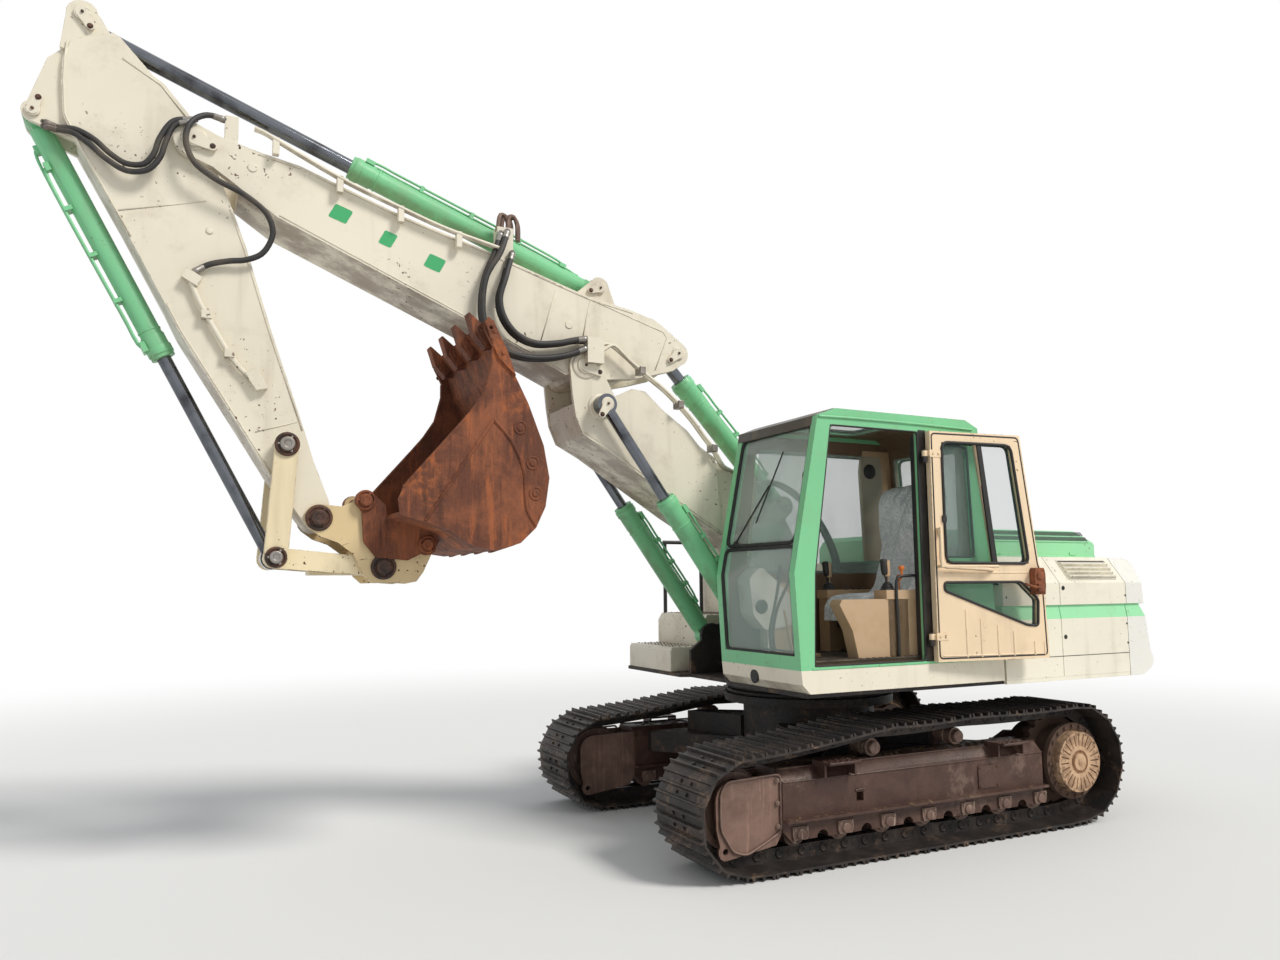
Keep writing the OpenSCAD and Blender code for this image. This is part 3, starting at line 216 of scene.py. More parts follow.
class Shader:
    """A node material that reads the piece's own coordinates, which are the row's at rest."""

    def __init__(self, name):
        self.mat = bpy.data.materials.new(name)
        self.mat.use_nodes = True
        self.tree = self.mat.node_tree
        self.bsdf = self.tree.nodes["Principled BSDF"]
        coordinates = self.node("ShaderNodeTexCoord")
        self.pos = coordinates.outputs["Object"]
        self.normal = coordinates.outputs["Normal"]

    def node(self, kind, **props):
        made = self.tree.nodes.new(kind)
        for key, value in props.items():
            setattr(made, key, value)
        return made

    def put(self, socket, value):
        if isinstance(value, bpy.types.NodeSocket):
            self.tree.links.new(value, socket)
        else:
            socket.default_value = value

    def set(self, **values):
        for key, value in values.items():
            self.put(self.bsdf.inputs[key.replace("_", " ")], value)
        return self.mat

    def math(self, operation, a, b=0.0):
        made = self.node("ShaderNodeMath", operation=operation)
        self.put(made.inputs[0], a)
        self.put(made.inputs[1], b)
        return made.outputs[0]

    def times(self, *values):
        product = values[0]
        for value in values[1:]:
            product = self.math("MULTIPLY", product, value)
        return product

    def most(self, a, b):
        return self.math("MAXIMUM", a, b)

    def band(self, value, low, high, out_low=0.0, out_high=1.0):
        """value as a smooth step from out_low at low to out_high at high."""
        made = self.node("ShaderNodeMapRange", interpolation_type="SMOOTHSTEP")
        for socket, number in zip(made.inputs, (value, low, high, out_low, out_high)):
            self.put(socket, number)
        return made.outputs[0]

    def mix(self, share, a, b):
        made = self.node("ShaderNodeMix", data_type="RGBA")
        for index, value in ((0, share), (6, a), (7, b)):
            self.put(made.inputs[index], value)
        return made.outputs[2]

    def noise(self, scale, detail=4.0, stretch=None, rough=0.55, twist=0.0):
        made = self.node("ShaderNodeTexNoise")
        vector = self.pos
        if stretch:
            mapping = self.node("ShaderNodeMapping")
            self.put(mapping.inputs["Scale"], stretch)
            self.put(mapping.inputs["Vector"], self.pos)
            vector = mapping.outputs[0]
        values = (("Vector", vector), ("Scale", scale), ("Detail", detail), ("Roughness", rough),
                  ("Distortion", twist))
        for key, value in values:
            self.put(made.inputs[key], value)
        return made.outputs["Fac"]

    def axis(self, which, of=None):
        made = self.node("ShaderNodeSeparateXYZ")
        self.put(made.inputs[0], of or self.pos)
        return made.outputs[which]

    def between(self, value, low, high, soft=0.001):
        return self.times(self.band(value, low - soft, low + soft),
                          self.band(value, high + soft, high - soft))

    def edges(self, radius=0.006):
        """1 on edges, 0 on flat faces."""
        bevel = self.node("ShaderNodeBevel", samples=4)
        self.put(bevel.inputs["Radius"], radius)
        geometry = self.node("ShaderNodeNewGeometry")
        dot = self.node("ShaderNodeVectorMath", operation="DOT_PRODUCT")
        self.put(dot.inputs[0], bevel.outputs[0])
        self.put(dot.inputs[1], geometry.outputs["Normal"])
        return self.band(dot.outputs["Value"], 0.995, 0.86)

    def bump(self, height, distance=0.002, strength=1.0):
        made = self.node("ShaderNodeBump")
        self.put(made.inputs["Height"], height)
        self.put(made.inputs["Distance"], distance)
        self.put(made.inputs["Strength"], strength)
        self.put(self.bsdf.inputs["Normal"], made.outputs[0])


def paint(name, colour, zones=(), dirt=0.5, wear=0.5, rough=0.38, under=RUST):
    """Old machine paint: uneven tone, rain streaks, dirt on low faces, chips and worn edges."""
    s = Shader(name)
    base = s.mix(s.band(s.noise(0.8, 5), 0.35, 0.7), colour, shade(colour, 0.9))
    for mask, zone in zones:
        base = s.mix(mask(s), base, zone)
    streak = s.band(s.noise(7, 3, stretch=(1, 1, 0.1)), 0.52, 0.8)
    base = s.mix(s.times(streak, 0.5 * dirt), base, DUST)
    cloud = s.noise(3.1, 9, rough=0.65)
    below = s.band(s.axis(2, s.normal), -0.25, -0.75)
    base = s.mix(s.times(below, s.band(cloud, 0.36, 0.56), 1.2 * dirt), base, EARTH)
    base = s.mix(s.times(s.band(cloud, 0.5, 0.75), 0.55 * dirt), base, DUST)
    spots = s.times(s.band(s.noise(34, 3), 0.655, 0.675), s.band(s.noise(1.9, 2), 0.5, 0.62))
    edge = s.times(s.edges(), s.band(s.noise(21, 5), 0.5, 0.62))
    worn = s.math("MINIMUM", s.times(s.most(spots, edge), 2 * wear), 1.0)
    base = s.mix(worn, base, s.mix(s.band(s.noise(60, 3), 0.4, 0.6), under, shade(under, 0.55)))
    height = s.math("SUBTRACT", s.times(s.noise(240, 2), 0.12), worn)
    s.bump(height, 0.0009, 0.6)
    roughness = s.most(s.band(cloud, 0.4, 0.7, rough, rough + 0.2), s.times(worn, 0.8))
    return s.set(Base_Color=base, Roughness=roughness, Specular_IOR_Level=0.45)


def dirty_metal(name, colour, second, third, shine=0.0, rough=0.62, scale=4.0, depth=0.0015, zones=(),
                streaks=0.0):
    """Steel with blotches of a second and a third colour, streaks and rubbed edges."""
    s = Shader(name)
    cloud = s.noise(scale, 10, rough=0.68, twist=0.3)
    base = s.mix(s.band(cloud, 0.4, 0.62), colour, second)
    patch = s.times(s.band(s.noise(scale * 0.55, 6, rough=0.7), 0.53, 0.62),
                    s.band(s.noise(scale * 6, 5), 0.38, 0.6))
    base = s.mix(s.times(patch, 0.85), base, third)
    for mask, zone in zones:
        worn = s.mix(s.band(s.noise(26, 4, stretch=(1, 1, 0.07), rough=0.7), 0.5, 0.68), zone,
                     shade(zone, 1.7))
        base = s.mix(s.times(mask(s), s.band(cloud, 0.66, 0.36, 0.35, 1.0)), base, worn)
    if streaks:
        runs = s.noise(19, 6, stretch=(1, 1, 0.12), rough=0.72)
        base = s.mix(s.times(s.band(runs, 0.5, 0.7), streaks), base, shade(colour, 0.4))
        base = s.mix(s.times(s.band(runs, 0.47, 0.33), streaks * 0.8), base, shade(third, 1.15))
    edge = s.times(s.edges(0.008), s.band(s.noise(18, 4), 0.4, 0.6))
    base = s.mix(s.times(edge, 0.55), base, shade(second, 1.5))
    fine = s.noise(scale * 28, 5, rough=0.7)
    s.bump(s.math("ADD", s.times(fine, 0.5), s.times(cloud, 1.0)), depth)
    roughness = s.band(fine, 0.35, 0.65, rough - 0.12, min(rough + 0.2, 1))
    return s.set(Base_Color=base, Roughness=roughness, Metallic=shine, Specular_IOR_Level=0.4)


def plain(name, colour, rough=0.5, second=None, metal=0.0, grain=0.0006):
    """Moulded or drawn material with a little grain and tone."""
    s = Shader(name)
    cloud = s.noise(3.6, 6, rough=0.6)
    fine = s.noise(180, 3)
    base = s.mix(s.band(cloud, 0.42, 0.72), colour, second or shade(colour, 0.75))
    s.bump(fine, grain, 0.5)
    return s.set(Base_Color=base, Roughness=s.band(cloud, 0.35, 0.7, rough, min(rough + 0.16, 1)),
                 Metallic=metal)


def scratched(name, colour, second, bright):
    """Worn plate: blotches and upright bright scratches."""
    s = Shader(name)
    cloud = s.noise(2.4, 9, rough=0.66)
    base = s.mix(s.band(cloud, 0.4, 0.66), colour, second)
    lines = s.band(s.noise(26, 4, stretch=(1, 1, 0.07), rough=0.7), 0.56, 0.66)
    base = s.mix(s.times(lines, s.band(s.noise(3.3, 3), 0.4, 0.6), 0.7), base, bright)
    base = s.mix(s.times(s.edges(0.01), 0.5), base, bright)
    fine = s.noise(90, 5)
    s.bump(s.math("SUBTRACT", s.times(fine, 0.4), lines), 0.0012)
    return s.set(Base_Color=base, Roughness=s.band(fine, 0.3, 0.7, 0.42, 0.72), Metallic=0.15)


def dusty_disc():
    """The drive's end disc: pale dust, with patches of painted shade in the notches round its rim."""
    s = Shader("dusty_disc")
    centre = P(DRIVE[0], 0, DRIVE[1])
    x = s.math("SUBTRACT", s.axis(0), centre.x)
    z = s.math("SUBTRACT", s.axis(2), centre.z)
    radius = s.math("SQRT", s.math("ADD", s.times(x, x), s.times(z, z)))
    cloud = s.noise(9, 8, rough=0.7)
    base = s.mix(s.band(cloud, 0.36, 0.68), rgb(0xCEAC8A), rgb(0x9E7C60))
    # Dark patches in the ring of the notches: painted shade in the notches
    base = s.mix(s.times(s.band(radius, 0.105, 0.225), s.band(s.noise(24, 5), 0.4, 0.62), 0.75), base,
                 rgb(0x68503E))
    base = s.mix(s.band(radius, 0.231, 0.236), base, rgb(0x584438))
    s.bump(s.noise(120, 6, rough=0.7), 0.0025)
    return s.set(Base_Color=base, Roughness=0.9)


def crumpled_plastic():
    """Clear plastic film, milky where it is folded."""
    s = Shader("crumpled_plastic")
    folds = s.noise(11, 7, rough=0.62, twist=1.6)
    creases = s.math("ABSOLUTE", s.math("SUBTRACT", folds, 0.5))
    base = s.mix(s.band(s.noise(2.2, 4), 0.4, 0.66), rgb(0xEEF1F3), rgb(0xCDD5D6))
    base = s.mix(s.band(creases, 0.035, 0.0), base, rgb(0xFFFFFF))
    s.bump(s.math("ADD", s.times(creases, 1.2), s.times(s.noise(46, 5, twist=0.8), 0.2)), 0.016, 1.0)
    return s.set(Base_Color=base, Roughness=0.22, Alpha=s.band(creases, 0.0, 0.12, 0.97, 0.84),
                 Specular_IOR_Level=0.6)


def pane(name, colour, alpha):
    """Tinted window glass with a film of dust towards its foot."""
    s = Shader(name)
    film = s.band(s.noise(1.3, 5, stretch=(1, 1, 0.5)), 0.35, 0.75)
    base = s.mix(s.times(film, 0.5), colour, rgb(0xA8AAA0))
    s.bump(s.noise(300, 2), 0.00002, 0.2)
    return s.set(Base_Color=base, Roughness=s.band(film, 0.0, 1.0, 0.02, 0.08),
                 Alpha=s.band(film, 0.0, 1.0, alpha, alpha + 0.07))


def past(s, value, axis, limit, soft=2):
    """1 past limit on axis, in the machine's millimetres, or before it where soft is negative."""
    return s.band(value, P(*[limit - soft] * 3)[axis], P(*[limit + soft] * 3)[axis])


def below_sill(s):
    return s.band(s.axis(2), 1.2535, 1.2525)


def on_guard(s):
    """The worn plates beside the idler."""
    return past(s, s.axis(0), 0, 1130)


def in_stripe(s):
    return s.between(s.axis(2), 1.533, 1.637)


def on_post(s):
    """Rubber strip on the outer face of the hinge post."""
    post = s.times(s.between(s.axis(0), P(-92, 0, 0).x, P(-21, 0, 0).x), s.between(s.axis(2), 1.27, 2.893))
    return s.times(post, past(s, s.axis(1), 1, 1350, 1))


def inside_cab(s):
    """The cab's inner faces, from the floor to the roof, which take the darkened lining: painted shade."""
    x, y, z = (s.axis(k) for k in range(3))
    ahead = s.math("ADD", x, s.times(s.most(s.math("SUBTRACT", z, KNEE_Z / 1000), 0.0), LEAN))
    behind = s.math("SUBTRACT", x, s.times(s.math("SUBTRACT", z, SILL_Z / 1000), 0.0711))
    along = s.times(past(s, ahead, 0, 1000, -2), past(s, behind, 0, -700))
    ceiling = s.times(s.between(z, 2.934, 2.99), s.band(s.axis(2, s.normal), -0.3, -0.5))
    level = s.most(s.between(z, 1.2535, 2.935), ceiling)
    return s.times(along, s.between(y, P(0, 400, 0).y, P(0, HALF_W - 40, 0).y), level)


def make_materials():
    return {
        "cream": paint("cream_paint", CREAM),
        # The stripes on the side panels and the counterweight take the lighter mint: painted light
        "panel": paint("panel_paint", PANEL, zones=[(in_stripe, MINT_LIT)], dirt=0.35, wear=0.25, rough=0.32),
        "weight": paint("counterweight_paint", WEIGHT, zones=[(in_stripe, MINT_LIT)], dirt=0.4, wear=0.3),
        "mint": paint("mint_paint", MINT, dirt=0.35, wear=0.35),
        # Inside the cab the darkened lining: painted shade
        "cab": paint("cab_paint", MINT, zones=[(below_sill, CREAM), (inside_cab, SHADED_LINING), (on_post, BLACK)],
                     dirt=0.35, wear=0.35),
        # The hood takes the lighter mint: painted light on its top
        "hood": paint("hood_paint", MINT_LIT, dirt=0.3, wear=0.3),
        "door": paint("door_paint", rgb(0xF6DCB8), dirt=0.4, wear=0.45),
        # Dark grey-brown of the header: dirt and painted shade
        "header": paint("header_dirt_and_painted_shade", rgb(0x4A443E), dirt=0.6, wear=0.8, under=rgb(0x968A7A)),
        "patch": paint("green_patch", rgb(0x3AA868), dirt=0.2, wear=1.0, under=CREAM),
        "frame": dirty_metal("dark_frame", rgb(0x422C25), rgb(0x543C32), rgb(0x705A4E), rough=0.5, scale=2.6,
                             zones=[(on_guard, rgb(0x84685C))]),
        "chassis": dirty_metal("dark_chassis", rgb(0x222020), rgb(0x342C28), EARTH, rough=0.6, scale=3.0),
        "shoe": dirty_metal("track_steel", SHOE, rgb(0x423A36), rgb(0x705C4C), shine=0.35, rough=0.5,
                            scale=7, depth=0.002),
        "rust": dirty_metal("rusty_steel", RUST, rgb(0x885034), ORANGE, rough=0.7, scale=3.2, streaks=0.7),
        "coupler": paint("coupler_paint", rgb(0xDCC496), dirt=0.9, wear=1.6),
        "link": paint("link_paint", rgb(0xEEDEB8), dirt=0.55, wear=0.8),
        "grease": dirty_metal("greasy_steel", rgb(0x30221C), rgb(0x5C3C2C), rgb(0x1A1614), rough=0.4,
                              scale=14),
        "disc": dusty_disc(),
        "guard": scratched("worn_guard", rgb(0x7C6256), rgb(0x543E36), rgb(0xB09C8C)),
        # Chrome darker than bare chrome, with darker blotches: painted reflection of dark surroundings
        "chrome": plain("rod_chrome", rgb(0x70747A), 0.1, rgb(0x424246), metal=1.0, grain=0.0001),
        "steel": plain("bare_steel", rgb(0x96928C), 0.35, rgb(0x685C54), metal=0.9),
        "hose": plain("hose_rubber", rgb(0x282727), 0.55, rgb(0x564E44)),
        # Black plastic; also the painted shade in the louvre's gaps and the hood's slots
        "black": plain("black_plastic_and_painted_shade", BLACK, 0.45, rgb(0x302D2B)),
        "seal": plain("window_seal", rgb(0x161616), 0.6, rgb(0x34312E)),
        "tan": plain("tan_plastic", TAN, 0.5, rgb(0xB29470)),
        "white": plain("white_plastic", rgb(0xDEDAD0), 0.4, rgb(0xB8B0A0)),
        "mat": plain("floor_mat", rgb(0x3E3630), 0.85, rgb(0x6E6050), grain=0.002),
        "cloth": plain("chair_cloth", rgb(0x42464E), 0.9, rgb(0x2E3036), grain=0.002),
        "cover": crumpled_plastic(),
        "glass": pane("window_glass", rgb(0xB0C6BE), 0.34),
        "door_glass": pane("door_glass", rgb(0x54706A), 0.18),
        "orange": plain("orange_knob", rgb(0xCE7028), 0.4),
        "mud": dirty_metal("dried_mud", rgb(0x5C4634), rgb(0x78624A), rgb(0x8E7A60), rough=0.95, scale=16,
                           depth=0.006),
    }


BARRELS = "boom_barrel_left boom_barrel_right adjust_barrel arm_barrel bucket_barrel"
CAD_LOOKS = {
    "chassis": "car_body upper_frame engine_block",
    "tan": "cab_consoles",
    "frame": "track_frame_left track_frame_right",
    "guard": "idler_left idler_right rollers_left rollers_right",
    "shoe": "track_left track_right",
    "disc": "drive_left drive_right",
    "weight": "counterweight",
    "panel": "side_panels_left side_panels_right",
    "cream": "tank_and_steps base_boom upper_boom stick operator_chair",
    "link": "tipping_link power_link",
    "coupler": "coupler",
    "hood": "engine_hood",
    "mint": BARRELS,
    "cab": "cab_shell",
    "door": "cab_door",
    "rust": "bucket",
    "chrome": "boom_rod_left boom_rod_right adjust_rod arm_rod bucket_rod",
    "door_glass": "door_window",
    "black": "handrail",
}


def round_edges(obj, width, angle):
    """Rounds the edges whose faces meet at more than angle degrees."""
    bevel = obj.modifiers.new("round", "BEVEL")
    bevel.width = width
    bevel.segments = 2
    bevel.limit_method = "ANGLE"
    bevel.angle_limit = math.radians(angle)


def soften_edges(obj, width):
    """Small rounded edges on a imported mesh, so that they catch light."""
    weld = obj.modifiers.new("weld", "WELD")
    weld.merge_threshold = 0.00005
    flat = obj.modifiers.new("flat", "DECIMATE")
    flat.decimate_type = "DISSOLVE"
    flat.angle_limit = math.radians(0.6)
    round_edges(obj, width, 28)


SOFT_EDGES = [
    ("cab_shell cab_door side_panels_left side_panels_right tank_and_steps", 0.005),
    ("counterweight engine_hood base_boom upper_boom stick coupler tipping_link power_link", 0.006),
    (BARRELS + " cab_consoles track_frame_left track_frame_right", 0.003),
]


def dress_nodes():
    for look, names in CAD_LOOKS.items():
        for name in names.split():
            for slot in NODES[name].material_slots:
                slot.material = LOOKS[look]
    for names, width in SOFT_EDGES:
        for name in names.split():
            soften_edges(NODES[name], width)
    panes = NODES["cab_windows"].material_slots
    for slot in panes:
        slot.material = LOOKS["seal" if max(slot.material.diffuse_color[:3]) < 0.2 else "glass"]


# Forms: directions of the machine, where OUT is out of its left side
AHEAD, BACK, OUT, IN, UP = (1, 0, 0), (-1, 0, 0), (0, 1, 0), (0, -1, 0), (0, 0, 1)


def unit_frame(axis):
    """Two unit vectors square to axis."""
    axis = Vector(axis).normalized()
    other = Vector((0, 0, 1)) if abs(axis.z) < 0.9 else Vector((1, 0, 0))
    u = axis.cross(other).normalized()
    return u, axis.cross(u).normalized()


def round_point(u, v, k, n):
    """Point k of n on the unit circle in the plane of u and v."""
    return math.cos(2 * math.pi * k / n) * u + math.sin(2 * math.pi * k / n) * v


def curve_through(points, step=22):
    """A smooth line through points, in millimetres, with about even steps."""
    pts = [Vector(p) for p in points]
    ends = [2 * pts[0] - pts[1]] + pts + [2 * pts[-1] - pts[-2]]
    line = []
    for a, b, c, d in zip(ends, ends[1:], ends[2:], ends[3:]):
        t1 = (b - a).length ** 0.5
        t2 = t1 + (c - b).length ** 0.5
        t3 = t2 + (d - c).length ** 0.5
        count = max(2, int((c - b).length / step))
        for i in range(count):
            t = t1 + (t2 - t1) * i / count
            a1 = a * (t1 - t) / t1 + b * t / t1
            a2 = b * (t2 - t) / (t2 - t1) + c * (t - t1) / (t2 - t1)
            a3 = c * (t3 - t) / (t3 - t2) + d * (t - t2) / (t3 - t2)
            b1 = a1 * (t2 - t) / t2 + a2 * t / t2
            b2 = a2 * (t3 - t) / (t3 - t1) + a3 * (t - t1) / (t3 - t1)
            line.append(b1 * (t2 - t) / (t2 - t1) + b2 * (t - t1) / (t2 - t1))
    return line + [pts[-1]]


def add_object(name, bm, looks):
    """An object of the mesh in bm, in the looks named."""
    mesh = bpy.data.meshes.new(name)
    bm.to_mesh(mesh)
    bm.free()
    for look in looks.split():
        mesh.materials.append(LOOKS[look])
    obj = bpy.data.objects.new(name, mesh)
    scene.collection.objects.link(obj)
    return obj


class Form:
    """A piece in the making. Its coordinates are millimetres, and place() turns them into the row's."""

    def __init__(self, place=P):
        self.bm = bmesh.new()
        self.place = place
        self.paint = 0

    def face(self, corners, smooth=False):
        made = self.bm.faces.new(corners)
        made.material_index = self.paint
        made.smooth = smooth

    def loft(self, rings, smooth=True, caps=True):
        """Faces between rings of points, with flat ends."""
        rows = [[self.bm.verts.new(self.place(*p)) for p in ring] for ring in rings]
        for a, b in zip(rows, rows[1:]):
            for i in range(len(a)):
                j = (i + 1) % len(a)
                self.face([a[i], a[j], b[j], b[i]], smooth)
        if caps:
            self.face(rows[0][::-1])
            self.face(rows[-1])
        return rows

    def prism(self, outline, y0, y1):
        self.loft([[(x, y, z) for x, z in outline] for y in (y0, y1)], smooth=False)

    def box(self, a, b):
        x0, y0, z0 = a
        x1, y1, z1 = b
        self.loft([[(x0, y0, z), (x1, y0, z), (x1, y1, z), (x0, y1, z)] for z in (z0, z1)], smooth=False)

    def tube(self, points, r, n=12):
        pts = [Vector(p) for p in points]
        u, _ = unit_frame((pts[1] - pts[0]).normalized())
        rings = []
        for i, p in enumerate(pts):
            ahead = (pts[min(i + 1, len(pts) - 1)] - pts[max(i - 1, 0)]).normalized()
            u = (u - ahead * u.dot(ahead)).normalized()
            rings.append([p + r * round_point(u, ahead.cross(u), k, n) for k in range(n)])
        self.loft(rings)

    def pipe(self, points, step, r, n):
        """A tube along the smooth line through points."""
        self.tube(curve_through(points, step), r, n)

    def turn(self, centre, axis, profile, n=28, smooth=True):
        """A turned form: profile holds (radius, distance along the axis)."""
        centre, axis = Vector(centre), Vector(axis).normalized()
        u, v = unit_frame(axis)
        self.loft([[centre + axis * h + r * round_point(u, v, k, n) for k in range(n)] for r, h in profile],
                  smooth)

    def turn_both(self, x, y, z, profile, n=28):
        """The same turned form on both sides, facing outwards."""
        for s in (-1, 1):
            self.turn((x, s * y, z), (0, s, 0), profile, n)

    def band(self, centre, axis, profile, n=32):
        """A turned ring: profile is closed and leaves the bore free."""
        centre, axis = Vector(centre), Vector(axis).normalized()
        u, v = unit_frame(axis)
        self.loft([[centre + axis * h + r * round_point(u, v, k, n) for r, h in profile]
                   for k in list(range(n)) + [0]], caps=False)

    def bolt(self, at, axis, r=12, h=10):
        at, axis = Vector(at), Vector(axis).normalized()
        self.turn(at, axis, [(r * 1.35, -1), (r * 1.35, 2.5)], 14, False)
        self.turn(at, axis, [(r, 2), (r, h - 1.5), (r * 0.85, h)], 6, False)

    def ring_of_bolts(self, centre, axis, radius, count, r=12, h=10, start=0.0):
        u, v = unit_frame(axis)
        for k in range(count):
            a = start + 2 * math.pi * k / count
            self.bolt(Vector(centre) + radius * (math.cos(a) * u + math.sin(a) * v), axis, r, h)

    def make(self, name, body, slot, looks, bevel=0.0, ride=True):
        bmesh.ops.recalc_face_normals(self.bm, faces=self.bm.faces)
        obj = add_object(name, self.bm, looks)
        if bevel:
            round_edges(obj, bevel, 35)
        if ride:
            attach(obj, body)
        return obj


def capsule(a, b, ra, rb, n=10):
    """Outline round two points in x and z."""
    a, b = Vector(a), Vector(b)
    angle = math.atan2(b.y - a.y, b.x - a.x)
    out = []
    for c, r, first in ((b, rb, angle - math.pi / 2), (a, ra, angle + math.pi / 2)):
        out += [(c.x + r * math.cos(first + math.pi * k / n), c.y + r * math.sin(first + math.pi * k / n))
                for k in range(n + 1)]
    return out


# Hoses: name, bodies, diameter, points and where the bend starts and ends
def make_hoses():
    rows = []
    for k, y in ((1, 215), (2, 262)):
        top = (2684, 170, 4305) if k == 1 else (2636, 172, 4325)
        rows.append((f"boom_hose_outer_{k}", "base_boom", "upper_boom", 42,
                     [(2058, y - 6, 3517), (2180, y, 3462), (2359, y, 3415), (2572, y, 3408),
                      (2751, y, 3477), (2825, y, 3613), (2841, y, 3755), (2814, y, 3948),
                      (2742 - (k - 1) * 30, y - 15, 4135), top], (2600, 3500), (2600, 4150)))
        top = (2630, 172, 4105) if k == 1 else (2600, 174, 4170)
        rows.append((f"boom_hose_inner_{k}", "base_boom", "upper_boom", 42,
                     [(2058, y - 6, 3583), (2150, y, 3566), (2274, y, 3531), (2459, y, 3511),
                      (2595, y, 3562), (2685, y, 3668), (2716, y, 3795), (2673, y - 8, 3962), top],
                     (2600, 3560), (2600, 4050)))
    rows.append(("stick_hose_lower", "upper_boom", "stick", 36,
                 [(4496, 140, 4760), (4600, 162, 4762), (4692, 200, 4680), (4719, 214, 4556),
                  (4668, 216, 4422), (4551, 212, 4340), (4372, 204, 4267), (4238, 190, 4171),
                  (4198, 178, 4071), (4208, 166, 4003), (4259, 156, 3915), (4352, 146, 3866),
                  (4442, 138, 3849), (4560, 130, 3810), (4645, 126, 3748)], (4500, 4700), (4300, 4000)))
    for k in (0, 1):
        d = 44 * k
        rows.append((f"stick_hose_upper_{k + 1}", "upper_boom", "stick", 34,
                     [(4690 - d / 2, 184, 4690 + d / 3), (4778 + d / 6, 190, 4650 + d / 2),
                      (4826 + d * 0.8, 194, 4531 + d / 4), (4855 + d * 0.8, 192, 4420 + d / 3),
                      (4921 + d * 0.4, 184, 4332 + d * 0.8), (5030, 168, 4313 + d),
                      (5140 - d / 2, 146, 4374 + d * 0.8), (5239 - d / 2, 122, 4462 + d * 0.8),
                      (5330 - d / 3, 96, 4524 + d * 0.5), (5410, 70, 4536 + d * 0.3),
                      (5478, 52, 4548 + d * 0.6)], (4760, 4600), (5250, 4480)))
    for k, y in ((1, 82), (2, 128)):
        rows.append((f"deck_hose_{k}", "upper_structure", "base_boom", 38,
                     [(-270, y - 20, 1606), (-282, y - 14, 1700), (-276, y - 6, 1860), (-232, y, 2040),
                      (-140, y, 2230), (-10, y, 2400), (150, y, 2535), (330, y, 2615), (470, y, 2618),
                      (566, y, 2592)], (-260, 1700), (420, 2560)))
    for name, a, b, d, points, start, end in rows:
        line = curve_through(points)
        form = Form()
        form.tube(line, d / 2, 14)
        piece = form.make(name, a, "black_tube", "hose", ride=False)
        for label, body, i, j in (("start", a, 0, 3), ("end", b, -1, -4)):
            sleeve = Form()
            out = (line[j] - line[i]).normalized()
            sleeve.turn(line[i] - out * 12, out,
                        [(d * 0.42, 0), (d * 0.42, 16), (d * 0.62, 18), (d * 0.62, 42), (d * 0.56, 46),
                         (d * 0.56, 84), (d * 0.52, 88)], 14)
            sleeve.make(f"{name}_{label}", body, "rusty_steel", "steel")
        y = points[0][1]
        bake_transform(piece)


def make_pipes():
    form = Form()
    for k in (0, 1):
        y, up = 222 + 36 * k, 26 * k
        form.pipe([(1936, y, 3560 - 2 * up), (1880, y, 3575 - up), (1841, y, 3560), (1720, y, 3478 - up / 2),
                   (1612, y, 3390), (1402, y, 3250), (1189, y, 3058), (1085, y, 2935), (999, y, 2838),
                   (912, y - 20, 2722), (800, y - 70, 2690), (700, 108 + 30 * k, 2668),
                   (636, 108 + 30 * k, 2640)], 40, 13, 10)
    form.paint = 1
    for x, z in ((1620, 3396), (1300, 3166), (1010, 2852)):
        form.box((x - 22, 196, z - 34), (x + 22, 292, z + 22))
    form.make("base_boom_pipes", "base_boom", "cream_paint", "cream steel", bevel=0.003)
    form = Form()
    for k in (0, 1):
        y = 226 - 26 * k
        form.pipe([(4330, y, 4708 - 4 * k), (4279, y, 4694), (4044, y, 4586), (3754, y, 4462),
                   (3387, y, 4342), (3109, y, 4258), (2800, y, 4192), (2698, y, 4172)], 40, 12, 10)
    form.paint = 1
    for x, z in ((4200, 4656), (3800, 4478), (3400, 4344), (3000, 4230)):
        form.box((x - 20, 186, z - 96), (x + 20, 233, z + 16))
    form.make("upper_boom_pipes", "upper_boom", "cream_paint", "cream cream", bevel=0.003)
    form = Form()
    form.pipe([(4655, 128, 3690), (4600, 128, 3566), (4507, 128, 3401), (4430, 128, 3275), (4356, 126, 3175),
               (4290, 124, 3120), (4225, 120, 3090)], 40, 17, 12)
    for x, z in ((4560, 3492), (4420, 3262)):
        form.box((x - 30, 92, z - 26), (x + 30, 152, z + 26))
    form.make("stick_pipe", "stick", "cream_paint", "cream", bevel=0.003)


# Pin ends: name, body, place, outer face, radius, angle of the keeper plate (None: a cap and a ring), look
PINS = [
    ("fold", "base_boom", FOLD, 287, 62, 200, "cream"),
    ("lug", "upper_boom", LUG, 244, 48, 320, "cream"),
    ("swing", "upper_boom", SWING, 253, 60, 200, "cream"),
    ("arm_base", "upper_boom", ARM_BASE, 162, 44, 340, "cream"),
    ("arm_eye", "stick", ARM_EYE, 167, 48, 240, "cream"),
    ("bucket_base", "stick", BUCKET_BASE, 142, 42, 110, "cream"),
    ("tip", "stick", TIP, 255, 76, None, "steel"),
    ("link", "tipping_link", LINK, 256, 66, None, "steel"),
    ("nose", "stick", NOSE, 210, 84, None, "grease"),
    ("hook", "bucket", HOOK, 214, 82, None, "grease"),
    ("bucket", "bucket", BUCKET_PIN, 250, 66, None, "rust"),
    ("hitch", "bucket", HITCH, 250, 60, None, "rust"),
    ("boom_eye", "base_boom", BOOM_EYE, 406, 50, 300, "cream"),
    ("boom_base", "upper_structure", BOOM_BASE, 412, 50, 234, "chassis"),
    ("foot", "upper_structure", FOOT, 306, 60, 180, "chassis"),
    ("adjust_base", "base_boom", ADJUST_BASE, 108, 42, 30, "cream"),
]


